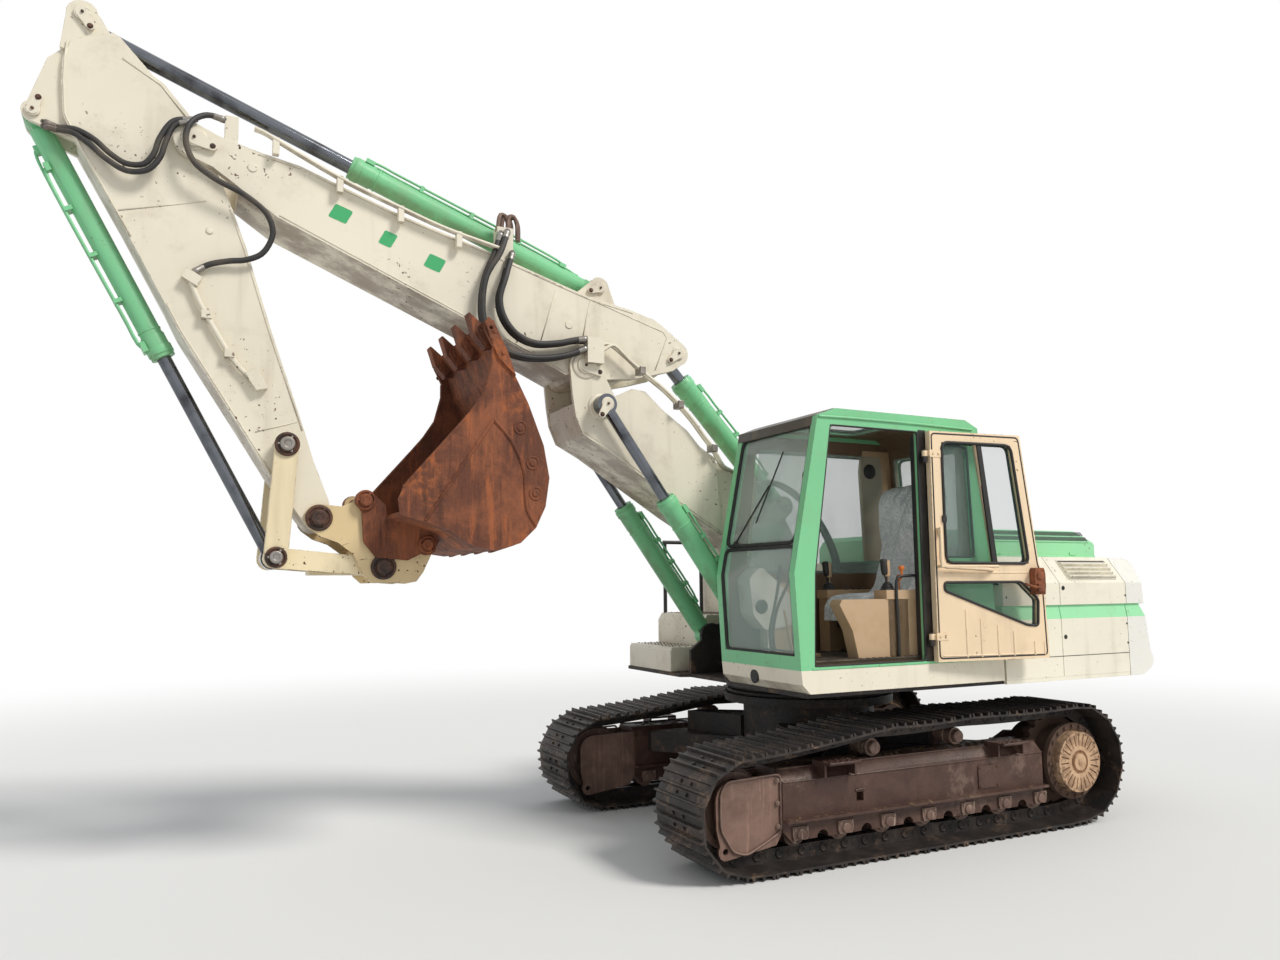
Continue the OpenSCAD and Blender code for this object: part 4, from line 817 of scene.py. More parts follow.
def make_pins():
    for name, body, (x, z), y, r, angle, look in PINS:
        form = Form(Q)
        if angle is None:
            form.paint = 1
            form.turn_both(x, y - 12, z, [(r, 0), (r, 16), (r - 5, 22), (r * 0.78, 23), (r * 0.74, 15)], 36)
            form.paint = 0
            form.turn_both(x, y - 2, z, [(r * 0.6, 0), (r * 0.6, 28), (r * 0.54, 33), (r * 0.3, 33),
                                         (r * 0.27, 29)])
            for s in (-1, 1):
                form.ring_of_bolts((x, s * (y + 10), z), (0, s, 0), r * 0.68, 3, 6, 7)
        else:
            a = math.radians(angle)
            far = (x + 1.9 * r * math.cos(a), z + 1.9 * r * math.sin(a))
            form.turn_both(x, y - 5, z, [(r * 0.98, 0), (r * 0.98, 11), (r * 0.9, 14)])
            for s in (-1, 1):
                form.paint = 0
                form.prism(capsule((x, z), far, r * 0.78, r * 0.5), s * (y - 1), s * (y + 13))
                form.paint = 1
                form.bolt((far[0], s * (y + 13), far[1]), (0, s, 0), 13, 12)
            form.turn_both(x, y + 12, z, [(9, 0), (9, 12), (5, 14)], 10)
        if name == "boom_eye":
            form.turn_both(x, 309, z, [(34.4, 0), (34.4, 96)], 24)
        ring = "rust" if look == "rust" else "grease"
        form.make(f"{name}_pin_ends", body, "cream_paint" if angle else "rusty_steel", f"{look} {ring}",
                  bevel=0.002)


# Cylinders: name, body, base, eye, y, barrel length, radius, gland radius and length
CYLINDERS = [
    ("boom_barrel_left", "boom_barrels", BOOM_BASE, BOOM_EYE, 360, 1285, 72, 75, 200),
    ("boom_barrel_right", "boom_barrels", BOOM_BASE, BOOM_EYE, -360, 1285, 72, 75, 200),
    ("adjust_barrel", "adjust_barrel", ADJUST_BASE, LUG, 0, 1340, 78, 86, 200),
    ("arm_barrel", "arm_barrel", ARM_BASE, ARM_EYE, 0, 1931, 74, 80, 160),
    ("bucket_barrel", "bucket_barrel", BUCKET_BASE, LINK, 0, 1585, 65, 71, 150),
]


def along_barrel(base, eye, y):
    """Places points given along a cylinder, sideways of it and above it."""
    a = math.atan2(eye[1] - base[1], eye[0] - base[0])
    c, s = math.cos(a), math.sin(a)
    return lambda u, v, w: Q(base[0] + c * u - s * w, y + v, base[1] + s * u + c * w)


def make_cylinder_trim():
    for name, body, base, eye, y, length, r, gland_r, gland_l in CYLINDERS:
        form = Form(along_barrel(base, eye, y))
        gland_x = length - gland_l
        # Ring of gland bolts, wiper collar and retaining bands
        form.ring_of_bolts((length - 24, 0, 0), AHEAD, (gland_r + r * 0.55) / 2 + 6, 8, 9, 11)
        form.band((length - 1, 0, 0), AHEAD, [(r * 0.66, 0), (r * 0.74, 0), (r * 0.72, 3), (r * 0.66, 4)])
        form.band((gland_x - 34, 0, 0), AHEAD,
                  [(r - 2, -8), (r + 1, -8), (r + 4, -4), (r + 4, 4), (r + 1, 8), (r - 2, 8)])
        # Ports with pipes along the barrel
        for v, start in ((-0.42, 170), (0.42, 300)):
            top = math.sqrt(1 - v * v) * r
            form.box((start - 26, v * r - 24, r * 0.84), (start + 26, v * r + 24, top + 26))
            form.pipe([(start, v * r, top + 24), (start + 46, v * r, top + 34),
                       (gland_x - 120, v * r, top + 34), (gland_x + 10, v * r, top + 34),
                       (gland_x + 52, v * r, top + 16)], 60, 9, 8)
        for u in (0.3, 0.55, 0.8):
            x = 200 + (gland_x - 220) * u
            top = r * 0.9 + 34
            form.box((x - 13, -0.42 * r - 18, r * 0.82), (x + 13, 0.42 * r + 18, top + 10))
        form.box((gland_x + 20, -0.42 * r - 26, r * 0.9), (gland_x + 84, 0.42 * r + 26, r + 24))
        form.make(f"{name}_trim", body, "mint_paint", "mint", bevel=0.002)


def rounded(corners, r, n=5):
    """A closed outline whose corners are rounded, with its first point repeated."""
    out = []
    pts = [Vector(c) for c in corners]
    for a, b, c in zip(pts[-1:] + pts[:-1], pts, pts[1:] + pts[:1]):
        p, q = b + (a - b).normalized() * r, b + (c - b).normalized() * r
        for k in range(n + 1):
            f = k / n
            out.append((p * (1 - f) + b * f) * (1 - f) + (b * (1 - f) + q * f) * f)
    return out + out[:1]


def rectangle(x0, z0, x1, z1):
    return [(x0, z0), (x1, z0), (x1, z1), (x0, z1)]


def seal(form, outline, to_3d, r, corner):
    form.tube([to_3d(*p) for p in rounded(outline, corner)], r, 8)


# Undercarriage: sizes as in the source, with y measured outwards from a track's centre plane
LINK_H, LINK_LOW, PLATE_T, GROUSER = 45, 40, 12, 26
SHOES, ROLLERS, ROLLER_PITCH, FIRST_ROLLER = 46, 7, 363, 1000
IDLER_CHAIN_R, DRIVE_CHAIN_R, CHAIN_SAG = 297, 362, 48
CARRIERS, CARRIER_R = ((314, 690), (-456, 708)), 60
SKIRT_Y = 180
TRACKS = (("left", lambda x, y, z: P(x, GAUGE / 2 + y, z)),
          ("right", lambda x, y, z: P(x, -GAUGE / 2 - y, z)))


def track_pins():
    """The chain's pins, as the source places them."""
    def arc(c, r, a0, a1, n):
        return [(c[0] + r * math.cos(math.radians(a0 + (a1 - a0) * i / n)),
                 c[1] + r * math.sin(math.radians(a0 + (a1 - a0) * i / n))) for i in range(n + 1)]

    def span(a, b, n=6):
        return [(a[0] + (b[0] - a[0]) * i / n, a[1] + (b[1] - a[1]) * i / n - CHAIN_SAG * i / n * (1 - i / n))
                for i in range(1, n)]

    around_idler, around_drive = (arc(IDLER, IDLER_CHAIN_R, -90, 97, 22),
                                  arc(DRIVE, DRIVE_CHAIN_R, 88, 270, 22))
    over = [(x, z + CARRIER_R + LINK_LOW + 6) for x, z in CARRIERS]
    low = GROUSER + PLATE_T + LINK_H
    path = (around_idler + span(around_idler[-1], over[0]) + [over[0]] + span(*over) + [over[1]]
            + span(over[1], around_drive[0]) + around_drive
            + [(FIRST_ROLLER - ROLLER_PITCH * 6 - 220, low), (FIRST_ROLLER + 220, low)])
    path = [Vector(p) for p in path]
    ring = path + path[:1]
    total = sum((b - a).length for a, b in zip(ring, ring[1:]))
    pins, done, k = [], 0.0, 0
    for i in range(SHOES):
        want = total * i / SHOES
        while done + (ring[k + 1] - ring[k]).length < want:
            done += (ring[k + 1] - ring[k]).length
            k += 1
        pins.append(ring[k] + (ring[k + 1] - ring[k]).normalized() * (want - done))
    return pins


def make_tracks():
    """Shoe bolts, and the ends of the chain's pins and bushes."""
    pins = track_pins()
    for side, place in TRACKS:
        form = Form(place)
        for i, a in enumerate(pins):
            b = pins[(i + 1) % SHOES]
            along = (b - a).normalized()
            out = Vector((along.y, -along.x))
            pitch = (b - a).length
            for share in (0.28, 0.7):
                foot = a + along * pitch * share + out * (LINK_H + PLATE_T + 1)
                for y in (-62, 62):
                    form.bolt((foot.x, y, foot.y), (out.x, 0, out.y), 11, 12)
            for y, s in ((-82, -1), (82, 1)):
                form.turn((a.x, y - s * 4, a.y), (0, s, 0), [(30, 0), (30, 9), (26, 12), (17, 12), (17, 8)],
                          12)
                form.turn((a.x + along.x * pitch * 0.5, y - s * 3, a.y + along.y * pitch * 0.5), (0, s, 0),
                          [(24, 0), (22, 6)], 8)
        form.make(f"track_bolts_{side}", "undercarriage", "track_steel", "shoe")


def make_running_gear():
    for side, place in TRACKS:
        form = Form(place)
        # Drive: bolts on the rim and on the hub, and a plug
        form.ring_of_bolts((DRIVE[0], 190, DRIVE[1]), OUT, 260, 20, 13, 15)
        form.ring_of_bolts((DRIVE[0], 226, DRIVE[1]), OUT, 75, 6, 8, 10)
        form.turn((DRIVE[0], 255, DRIVE[1]), OUT, [(24, 0), (24, 6), (12, 7)], 6)
        form.ring_of_bolts((DRIVE[0], 250, DRIVE[1]), OUT, 212, 12, 7, 7, 0.13)
        form.make(f"drive_bolts_{side}", "undercarriage", "drive_steel", "disc", bevel=0.0015)
        form = Form(place)
        # Idler guard: a rolled edge round the plate and the joint to the side frame
        edge = [(1136, 245), (1136, 600), (1540, 586), (1585, 520), (1585, 300), (1500, 160), (1400, 128),
                (1250, 190)]
        form.tube([(x, 163, z) for x, z in rounded(edge, 36)], 8, 8)
        for z in (275, 420, 560):
            form.bolt((1160, 164, z), OUT, 12, 11)
        form.make(f"idler_guard_edge_{side}", "undercarriage", "dark_frame", "guard", bevel=0.0015)
        form = Form(place)
        # Roller ends on both faces of the skirts, and the carrier rollers' ends and rims
        for k in range(ROLLERS):
            x, z = FIRST_ROLLER - ROLLER_PITCH * k, GROUSER + PLATE_T + LINK_H + LINK_LOW + 76
            for y, s in ((171, 1), (-171, -1)):
                form.prism([(x - 62, 205), (x - 50, 178), (x + 50, 178), (x + 62, 205), (x + 62, 262),
                            (x - 62, 262)], y, y + s * 14)
                form.turn((x, y + s * 13, z + 14), (0, s, 0), [(33, 0), (33, 9), (28, 13), (10, 14)], 20)
                for dx in (-46, 46):
                    form.bolt((x + dx, y + s * 14, 248), (0, s, 0), 10, 9)
        for x, z in CARRIERS:
            form.turn((x, 106, z), OUT, [(44, 0), (44, 10), (36, 16), (14, 17)], 24)
            form.ring_of_bolts((x, 115, z), OUT, 32, 3, 6, 8)
            form.turn((x, -20, z), OUT, [(61, 0), (66, 6), (66, 34), (61, 40)], 28)
        form.make(f"roller_ends_{side}", "undercarriage", "dark_frame", "guard", bevel=0.002)
        form = Form(place)
        # Side frame: weld along the shoulder, inspection cover, tread on the steps
        form.tube([(1128, SKIRT_Y + 1, 546), (-1213, SKIRT_Y + 1, 546)], 7, 6)
        form.tube([(1128, SKIRT_Y - 68, 621), (-1213, SKIRT_Y - 68, 621)], 6, 6)
        form.box((-760, SKIRT_Y - 2, 340), (-560, SKIRT_Y + 8, 500))
        for x in (-744, -576):
            for z in (356, 484):
                form.bolt((x, SKIRT_Y + 8, z), OUT, 8, 7)
        form.pipe([(470, SKIRT_Y + 5, 442), (510, SKIRT_Y + 6, 448), (550, SKIRT_Y + 5, 442)], 12, 6, 6)
        for x0 in (580, -970):
            for i in range(5):
                for j in range(3):
                    x, y = x0 + 32 + 49 * i, SKIRT_Y + 4 + 36 * j
                    form.turn((x + (j % 2) * 12, y, 655), UP, [(11, 0), (9, 5), (5, 6)], 8)
            form.tube([(x0 + 4, 288, 652), (x0 + 256, 288, 652)], 9, 8)
        form.make(f"side_frame_trim_{side}", "undercarriage", "dark_frame", "frame", bevel=0.001)


def clod(form, centre, size, rng, n=9):
    """A rounded lump of dry earth."""
    c = Vector(centre)
    rings = []
    turn = rng.uniform(0, math.pi)
    for k in range(5):
        lift = k / 4
        r = math.cos(lift * math.pi / 2 * 0.96)
        ring = []
        for i in range(n):
            a = 2 * math.pi * i / n
            spread = size * r * (0.75 + 0.5 * rng.random())
            x, y = 1.5 * spread * math.cos(a), 0.8 * spread * math.sin(a)
            ring.append((c.x + x * math.cos(turn) - y * math.sin(turn),
                         c.y + x * math.sin(turn) + y * math.cos(turn),
                         c.z - 3 + size * 0.42 * lift * (0.8 + 0.3 * rng.random())))
        rings.append(ring)
    form.loft(rings)


def make_earth():
    rng = random.Random(5)
    for side, place in TRACKS:
        form = Form(place)
        for _ in range(150):
            x = rng.uniform(-1180, 1090)
            clod(form, (x, rng.uniform(-95, 95), 620), rng.uniform(8, 30), rng)
        for _ in range(70):
            x = rng.uniform(-1190, 1100)
            clod(form, (x, SKIRT_Y + rng.uniform(2, 50), 315), rng.uniform(6, 20), rng)
        form.make(f"earth_{side}", "undercarriage", "dark_frame", "mud")


# Bucket and arm
BOWL_MIDDLE = Vector((2900, 2700))


def make_bucket_trim():
    form = Form(Q)
    for s in (-1, 1):
        y = s * 651
        form.tube([(2860, y, 2880), (3289, y, 2221)], 12, 6)
        form.pipe([(2854, y, 2887), (2735, y, 2754), (2650, y, 2570), (2636, y, 2410), (2622, y, 2303),
                   (2563, y, 2205)], 40, 12, 6)
        for x, z in ((2674, 2845), (2587, 2616), (2566, 2415)):
            form.turn((x, s * 648, z), (0, s, 0),
                      [(46, 0), (46, 7), (38, 9), (34, 4), (22, 4), (20, 12), (9, 12)], 28)
        # Strip along the mouth's edge
        form.tube([(3424, s * 640, 2424), (3080, s * 640, 2829), (2994, s * 640, 2934), (2909, s * 640, 3066),
                   (2859, s * 640, 3258), (2860, s * 640, 3358)], 14, 8)
        for x, z in ((2860, 3470), (2800, 3330), (2880, 3420)):
            form.bolt((x, s * 668, z), (0, s, 0), 13, 10)
    # Wear strips under the bowl
    outer = [(2619, 3010), (2510, 2736), (2469, 2521), (2496, 2330), (2561, 2190), (2666, 2089), (2821, 2039)]
    for y in (-480, -160, 160, 480):
        for (x0, z0), (x1, z1) in zip(outer, outer[1:]):
            d = Vector((x1 - x0, z1 - z0)).normalized()
            n = Vector((d.y, -d.x))
            if n.dot(Vector((x0, z0)) - BOWL_MIDDLE) < 0:
                n = -n
            form.prism([(x + n.x * out, z + n.y * out) for x, z, out in
                        ((x0, z0, -4), (x0, z0, 10), (x1, z1, 10), (x1, z1, -4))], y - 38, y + 38)
    form.make("bucket_trim", "bucket", "rusty_steel", "rust", bevel=0.002)
    form = Form(Q)
    ahead = Vector((0.62, 0.785))
    up = Vector((-ahead.y, ahead.x))
    base = Vector((2852, 3424))
    for k in range(4):
        y = -500 + 1000 * k / 3
        rings = []
        for along, half_t, half_w in ((-6, 46, 56), (60, 44, 56), (118, 33, 48), (121, 30, 39),
                                      (150, 28, 37), (236, 8, 25)):
            c = base + ahead * along
            a, b = c + up * half_t, c - up * half_t
            rings.append([(a.x, y - half_w, a.y), (a.x, y + half_w, a.y), (b.x, y + half_w, b.y),
                          (b.x, y - half_w, b.y)])
        form.loft(rings, smooth=False)
        c = base + ahead * 92
        form.turn((c.x, y - 60, c.y), OUT, [(11, 0), (11, 120)], 12)
    form.make("bucket_teeth", "bucket", "rusty_steel", "rust", bevel=0.005)


# Side faces of the booms, a little proud, and the seams on them: radius and points
UPPER_SIDE, STICK_SIDE, BASE_SIDE = 235, 165, 271
SEAMS = {
    "upper_boom": [
        (5, [(2552, 4078), (1383, 3735), (1349, 3692), (1456, 3432)]),
        (5, [(1992, 3901), (2049, 3630)]),
        (5, [(2261, 3948), (2376, 3564)]),
        (5, [(2190, 3345), (2384, 3436), (2915, 3665), (4160, 4184)]),
        (5, [(1640, 3850), (2007, 3914), (2262, 3988), (2773, 4142), (3372, 4296), (4041, 4518),
             (4300, 4564)]),
    ],
    "stick": [
        (5, [(5065, 4087), (4587, 4230)]),
        (5, [(4253, 2785), (4006, 2866)]),
        (6, [(5087, 5052), (4869, 4930), (4720, 4752)]),
        (6, [(5380, 5090), (5388, 4977), (5388, 4838), (5370, 4630), (5272, 4430), (5132, 4185),
             (4992, 3935)]),
        (6, [(4780, 3545), (4700, 3392), (4268, 2718), (4142, 2514)]),
        (6, [(4447, 4200), (4358, 3960), (4194, 3446), (3973, 2812)]),
    ],
    "base_boom": [
        (6, [(470, 2170), (871, 2190), (1181, 2374), (1598, 2637), (1877, 2816), (2050, 2908)]),
    ],
}


def seams(name, y):
    """A form with the same seams on both side faces."""
    form = Form(Q)
    for r, points in SEAMS[name]:
        for s in (-1, 1):
            form.tube([(x, s * y, z) for x, z in points], r, 6)
    return form


def make_boom_trim():
    form = seams("upper_boom", UPPER_SIDE)
    for x, z in ((2160, 3700), (4330, 4470)):
        form.turn_both(x, UPPER_SIDE - 1, z, [(30, 0), (30, 4), (24, 6)], 20)
    form.make("upper_boom_welds", "upper_boom", "cream_paint", "cream")
    form = Form(Q)
    for (x, z), w in (((3790, 4262), 120), ((3480, 4140), 90), ((3160, 4020), 120)):
        a = math.radians(18)
        c, s = math.cos(a), math.sin(a)
        corner = [(-w / 2, -52), (w / 2, -52), (w / 2 - 16, 52), (-w / 2 - 16, 52)]
        form.prism([(p.x, p.y) for p in
                    rounded([(x + c * u - s * v, z + s * u + c * v) for u, v in corner], 14)][:-1],
                   234.5, 236.2)
    form.make("boom_patches", "upper_boom", "mint_paint", "patch")
    form = seams("stick", STICK_SIDE)
    form.turn_both(4560, STICK_SIDE - 1, 4040, [(22, 0), (22, 6), (12, 7)], 16)
    form.make("stick_welds", "stick", "cream_paint", "cream")
    form = seams("base_boom", BASE_SIDE)
    for s in (-1, 1):
        form.tube([(905, s * 241, 2200), (965, s * 241, 2772)], 7, 6)
    form.turn_both(BOOM_EYE[0], 276, BOOM_EYE[1], [(98, -10), (98, 0), (84, 8), (72, 9)], 36)
    form.turn_both(FOLD[0], 270, FOLD[1], [(100, 0), (100, 6), (82, 12)], 36)
    form.make("base_boom_welds", "base_boom", "cream_paint", "cream")
    form = Form(Q)
    # Bulkhead: bent steel pipes that rise over the boom's top
    for x, y, z in ((2676, 168, 4300), (2636, 168, 4320), (2626, 168, 4110), (2602, 168, 4180)):
        form.turn((x, y + 30, z - 26), (0.1, -0.1, 1),
                  [(20, 0), (20, 18), (26, 20), (26, 44), (20, 46), (16, 62)], 6)
    for x, y in ((2690, 190), (2655, 165), (2620, 190), (2600, 160)):
        form.pipe([(x, y + 6, 4330), (x - 4, y + 2, 4410), (x - 20, y - 4, 4462), (x - 52, y - 12, 4466),
                   (x - 78, y - 20, 4420), (x - 84, y - 24, 4300)], 20, 15, 10)
        form.turn((x, y + 6, 4330), UP, [(21, 0), (21, 34)], 6)
    form.make("bulkhead_pipes", "upper_boom", "rusty_steel", "guard", bevel=0.001)


# Cab
CAB_RIGHT = 381
CHAIR_Y = (CAB_RIGHT + HALF_W) / 2


def make_cab_trim():
    form = Form()
    # Window seals: front, doorway, left rear, right side, back and roof hatch
    seal(form, [(443, 1345), (1291, 1345), (1291, KNEE_Z), (1291, 2060), (443, 2060), (443, KNEE_Z)],
         lambda y, z: (front_x(z) - 16, y, z), 14, 50)
    seal(form, rectangle(443, 2085, 1291, 2876), lambda y, z: (front_x(z) - 16, y, z), 14, 70)
    seal(form, [(-18, 1276), (929, 1276), (907, KNEE_Z), (750, 2878), (-18, 2878)],
         lambda x, z: (x, 1347, z), 8, 30)
    seal(form, [(-518, 1992), (-107, 1992), (-107, 2798), (-488, 2798)], lambda x, z: (x, 1345, z), 10, 50)
    seal(form, [(-498, 1902), (848, 1902), (728, 2818), (-458, 2818)], lambda x, z: (x, 383, z), 11, 60)
    seal(form, rectangle(493, 2082, 1241, 2798), lambda y, z: (back_x(z) - 1, y, z), 12, 60)
    seal(form, rectangle(-98, 563, 558, 1171), lambda x, y: (x, y, 2995), 13, 60)
    # Header over the front window, dark grey-brown: dirt and painted shade
    form.paint = 1
    form.loft([[(front_x(z) + dx, y, z) for dx, y in rectangle(3, 386, -30, 1300)[::-1]]
               for z in (2872, 2940)], smooth=False)
    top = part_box("cab_shell")[1][2] * 1000
    form.prism([(front_x(2940) + 3, 2940), (706, top + 3), (600, top + 3), (600, top - 2), (704, top - 2),
                (front_x(2940) - 2, 2936)], 386, 1330)
    form.paint = 0
    # Catch of the upper pane and the wiper
    form.box((front_x(2521) - 40, 1262, 2490), (front_x(2521) - 16, 1306, 2552))
    form.box((front_x(2521) - 60, 1240, 2512), (front_x(2521) - 40, 1300, 2530))
    form.tube([(front_x(2095) - 6, 560, 2095), (front_x(2500) - 2, 900, 2500)], 7, 8)
    form.tube([(front_x(2240) - 4, 800, 2240), (front_x(2730) - 4, 1010, 2730)], 6, 8)
    form.turn((front_x(2095) - 26, 560, 2095), AHEAD, [(26, 0), (26, 18), (14, 26), (12, 34)], 20)
    form.make("cab_seals", "upper_structure", "cab_plastic", "seal header", bevel=0.002)
    form = Form()
    form.turn((1016, 800, 1180), AHEAD, [(37, 0), (37, 8), (30, 10), (28, 5), (10, 3)], 28)
    form.turn((970, 800, 1180), AHEAD, [(50, 60), (50, 66), (38, 68)], 32)
    form.make("front_lamp", "upper_structure", "cab_plastic", "seal")
    form = Form()
    # Gutter along the roof, sill rail and the hinges on the post
    form.pipe([(front_x(2930) - 8, 1356, 2930), (600, 1357, 2934), (0, 1357, 2934), (-540, 1356, 2926)], 60,
              10, 8)
    form.box((-36, 1349, 1256), (950, 1358, 1268))
    form.paint = 1
    for z in HINGE_Z:
        form.box((-88, 1352, z - 52), (-40, 1360, z + 10))
        for dz in (-38, -8):
            form.bolt((-76, 1359, z + dz), OUT, 9, 8)
    form.make("cab_rails", "upper_structure", "mint_paint", "mint seal", bevel=0.002)
    # Lining: pillar panel with a speaker, floor mat, rear shelf
    form = Form()
    form.box((-560, 1215, 1990), (-500, 1304, 2860))
    form.prism([(-636, 1990), (-290, 1990), (-262, 2700), (-290, 2876), (-560, 2876)], 398, 432)
    form.paint = 1
    form.box((-96, 1262, 1310), (-26, 1304, 2860))
    form.box((-650, 430, 1300), (-500, 1304, 1520))
    form.box((-655, 1120, 1520), (-560, 1300, 2060))
    for k in range(4):
        form.turn((-353, 430, 2709), OUT,
                  [(60 - 14 * k, 3 * k), (60 - 14 * k, 3 * k + 7), (53 - 14 * k, 3 * k + 10)], 28)
    form.paint = 2
    form.box((-30, 430, 1297), (940, 1304, 1305))
    for k in range(17):
        form.tube([(-20 + 56 * k, 440, 1305), (-20 + 56 * k, 1298, 1305)], 5, 6)
    form.make("cab_lining", "upper_structure", "cab_plastic", "tan black mat", bevel=0.006)


def make_controls():
    """Console tops and housing, levers with bellows, lock lever, dash, travel levers with pedals."""
    form = Form(on_chair)
    for s in (-1, 1):
        y = s * 330
        form.box((-320, y - 66, 1700), (236, y + 66, 1764))
        if s > 0:
            form.prism([(40, 1300), (490, 1300), (536, 1492), (640, 1668), (618, 1702), (40, 1702)], y - 52,
                       y + 60)
        form.paint = 1
        form.turn((170, y, 1762), UP,
                  [(52, 0), (50, 10), (40, 18), (44, 26), (32, 36), (35, 44), (22, 54), (13, 60)], 20)
        form.pipe([(170, y, 1815), (176, y, 1850), (188, y, 1872)], 12, 12, 10)
        form.turn((186, y, 1866), (0.12, 0, 1),
                  [(14, 0), (22, 10), (25, 40), (24, 84), (27, 104), (18, 116)], 20)
        form.paint = 0
    form.paint = 1
    for x in (-120, -60, 0):
        form.turn((x, -330, 1764), UP, [(13, 0), (13, 10), (9, 14)], 14)
    form.paint = 3
    form.turn((60, 330, 1762), UP, [(6, 0), (6, 70), (20, 78), (23, 92), (16, 106), (6, 110)], 18)
    # Lock lever with its knob
    form.paint = 1
    form.pipe([(-75, 403, 1865), (60, 403, 1862), (138, 403, 1850), (152, 403, 1792), (146, 403, 1500),
               (146, 403, 1310)], 24, 11, 10)
    form.paint = 3
    form.turn((101, 403, 1868), UP, [(9, 0), (9, 30), (20, 38), (22, 56), (14, 66)], 18)
    # Dash: a rounded housing on a foot, with dials
    form.paint = 2
    shape = rounded([(930, 1858), (824, 1940), (575, 1735), (563, 1508), (800, 1477), (905, 1591)], 34)
    form.prism(shape[:-1], -435, -265)
    form.box((640, -397, 1300), (760, -297, 1500))
    form.paint = 1
    for x, z in ((745, 1876), (650, 1798)):
        for y in (-385, -317):
            form.turn((x, y, z), (-0.63, 0, 0.77), [(26, -8), (26, 4), (21, 6), (20, 3)], 20)
    form.turn((831, -267, 1650), OUT, [(52, 0), (52, 8), (44, 11), (14, 12)], 28)
    # Travel levers and pedals
    for s in (-1, 1):
        y = s * 52
        form.paint = 1
        x = 930 + 22 * s
        form.pipe([(x - 8, y, 1340), (x, y, 1486), (x - 46, y, 1660), (802, y + s * 20, 1860)], 30, 11, 10)
        form.turn((806, y + s * 20, 1846), (-0.25, 0.1 * s, 0.96), [(15, 0), (19, 12), (19, 96), (12, 106)],
                  16)
        form.loft([[(772, y - 46, z), (968, y - 46, z + 26), (968, y + 46, z + 26), (772, y + 46, z)]
                   for z in (1332, 1342)], smooth=False)
        for k in range(5):
            form.tube([(790 + 40 * k, y - 44, 1345 + 5.3 * k), (790 + 40 * k, y + 44, 1345 + 5.3 * k)], 4, 6)
    form.make("cab_controls", "upper_structure", "cab_plastic", "tan black white orange", bevel=0.004)


def pillow(name, place, size, power, crown, n=14):
    """A crowned cushion whose sides pull in between its corners."""
    bm = bmesh.new()
    bmesh.ops.create_cube(bm, size=2)
    bmesh.ops.subdivide_edges(bm, edges=bm.edges, cuts=n, use_grid_fill=True)
    for v in bm.verts:
        u = v.co
        big = max(abs(u.x), abs(u.y), abs(u.z))
        spread = (abs(u.x) ** power + abs(u.y) ** power + abs(u.z) ** power) ** (1 / power)
        q = u * (big / spread)
        pull = 1 - 0.05 * (1 - abs(u.z))
        rise = 1 + crown * (1 - u.x ** 2) * (1 - u.y ** 2)
        groove = 0.0
        if u.z > 0.5:
            groove = sum(0.09 * math.exp(-((u.y - g) / 0.035) ** 2) for g in (-0.42, 0.42))
        v.co = place(q.x * size[0] * pull, q.y * size[1] * pull, q.z * size[2] * rise * (1 - groove))
    bmesh.ops.recalc_face_normals(bm, faces=bm.faces)
    obj = add_object(name, bm, "cloth")
    for polygon in obj.data.polygons:
        polygon.use_smooth = True
    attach(obj, "upper_structure")


def on_chair(x, y, z):
    return P(x, CHAIR_Y + y, z)


def leaning(x0, z0, angle):
    """Places a cushion centred at (x0, z0): its thickness axis is turned by angle from upright, about y."""
    c, s = math.cos(angle), math.sin(angle)
    return lambda u, v, w: on_chair(x0 + c * u + s * w, v, z0 - s * u + c * w)


def make_chair():
    pillow("chair_cushion", leaning(-30, 1604, -0.04), (252, 238, 68), 5, 0.16)
    pillow("chair_back", leaning(-318, 1950, math.radians(74)), (292, 226, 62), 5, 0.18)
    pillow("chair_headrest", leaning(-402, 2340, math.radians(80)), (98, 124, 42), 4, 0.2)
    form = Form(on_chair)
    # Pedestal: base plate, pleated suspension, pan, tilt knob and the headrest's posts
    form.box((-330, -225, 1297), (160, 225, 1320))
    pleats = []
    for k in range(9):
        d = 14 if k % 2 else 0
        pleats.append([(x, y, 1320 + 20 * k) for x, y in rectangle(-300 + d, -200 + d, 130 - d, 200 - d)])
    form.loft(pleats, smooth=False)
    form.box((-300, -232, 1480), (180, 232, 1545))
    form.tube([(-200, -244, 1510), (60, -244, 1510)], 14, 10)
    for y in (-60, 60):
        form.pipe([(-402, y, 2200), (-412, y, 2300)], 40, 8, 8)
    pedestal = form.make("chair_pedestal", "upper_structure", "cab_plastic", "black", bevel=0.006)
    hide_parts("operator_chair")
    make_cover()


def fill_grid(bm, rows):
    for a, b in zip(rows, rows[1:]):
        for k in range(len(a) - 1):
            bm.faces.new([a[k], a[k + 1], b[k + 1], b[k]])


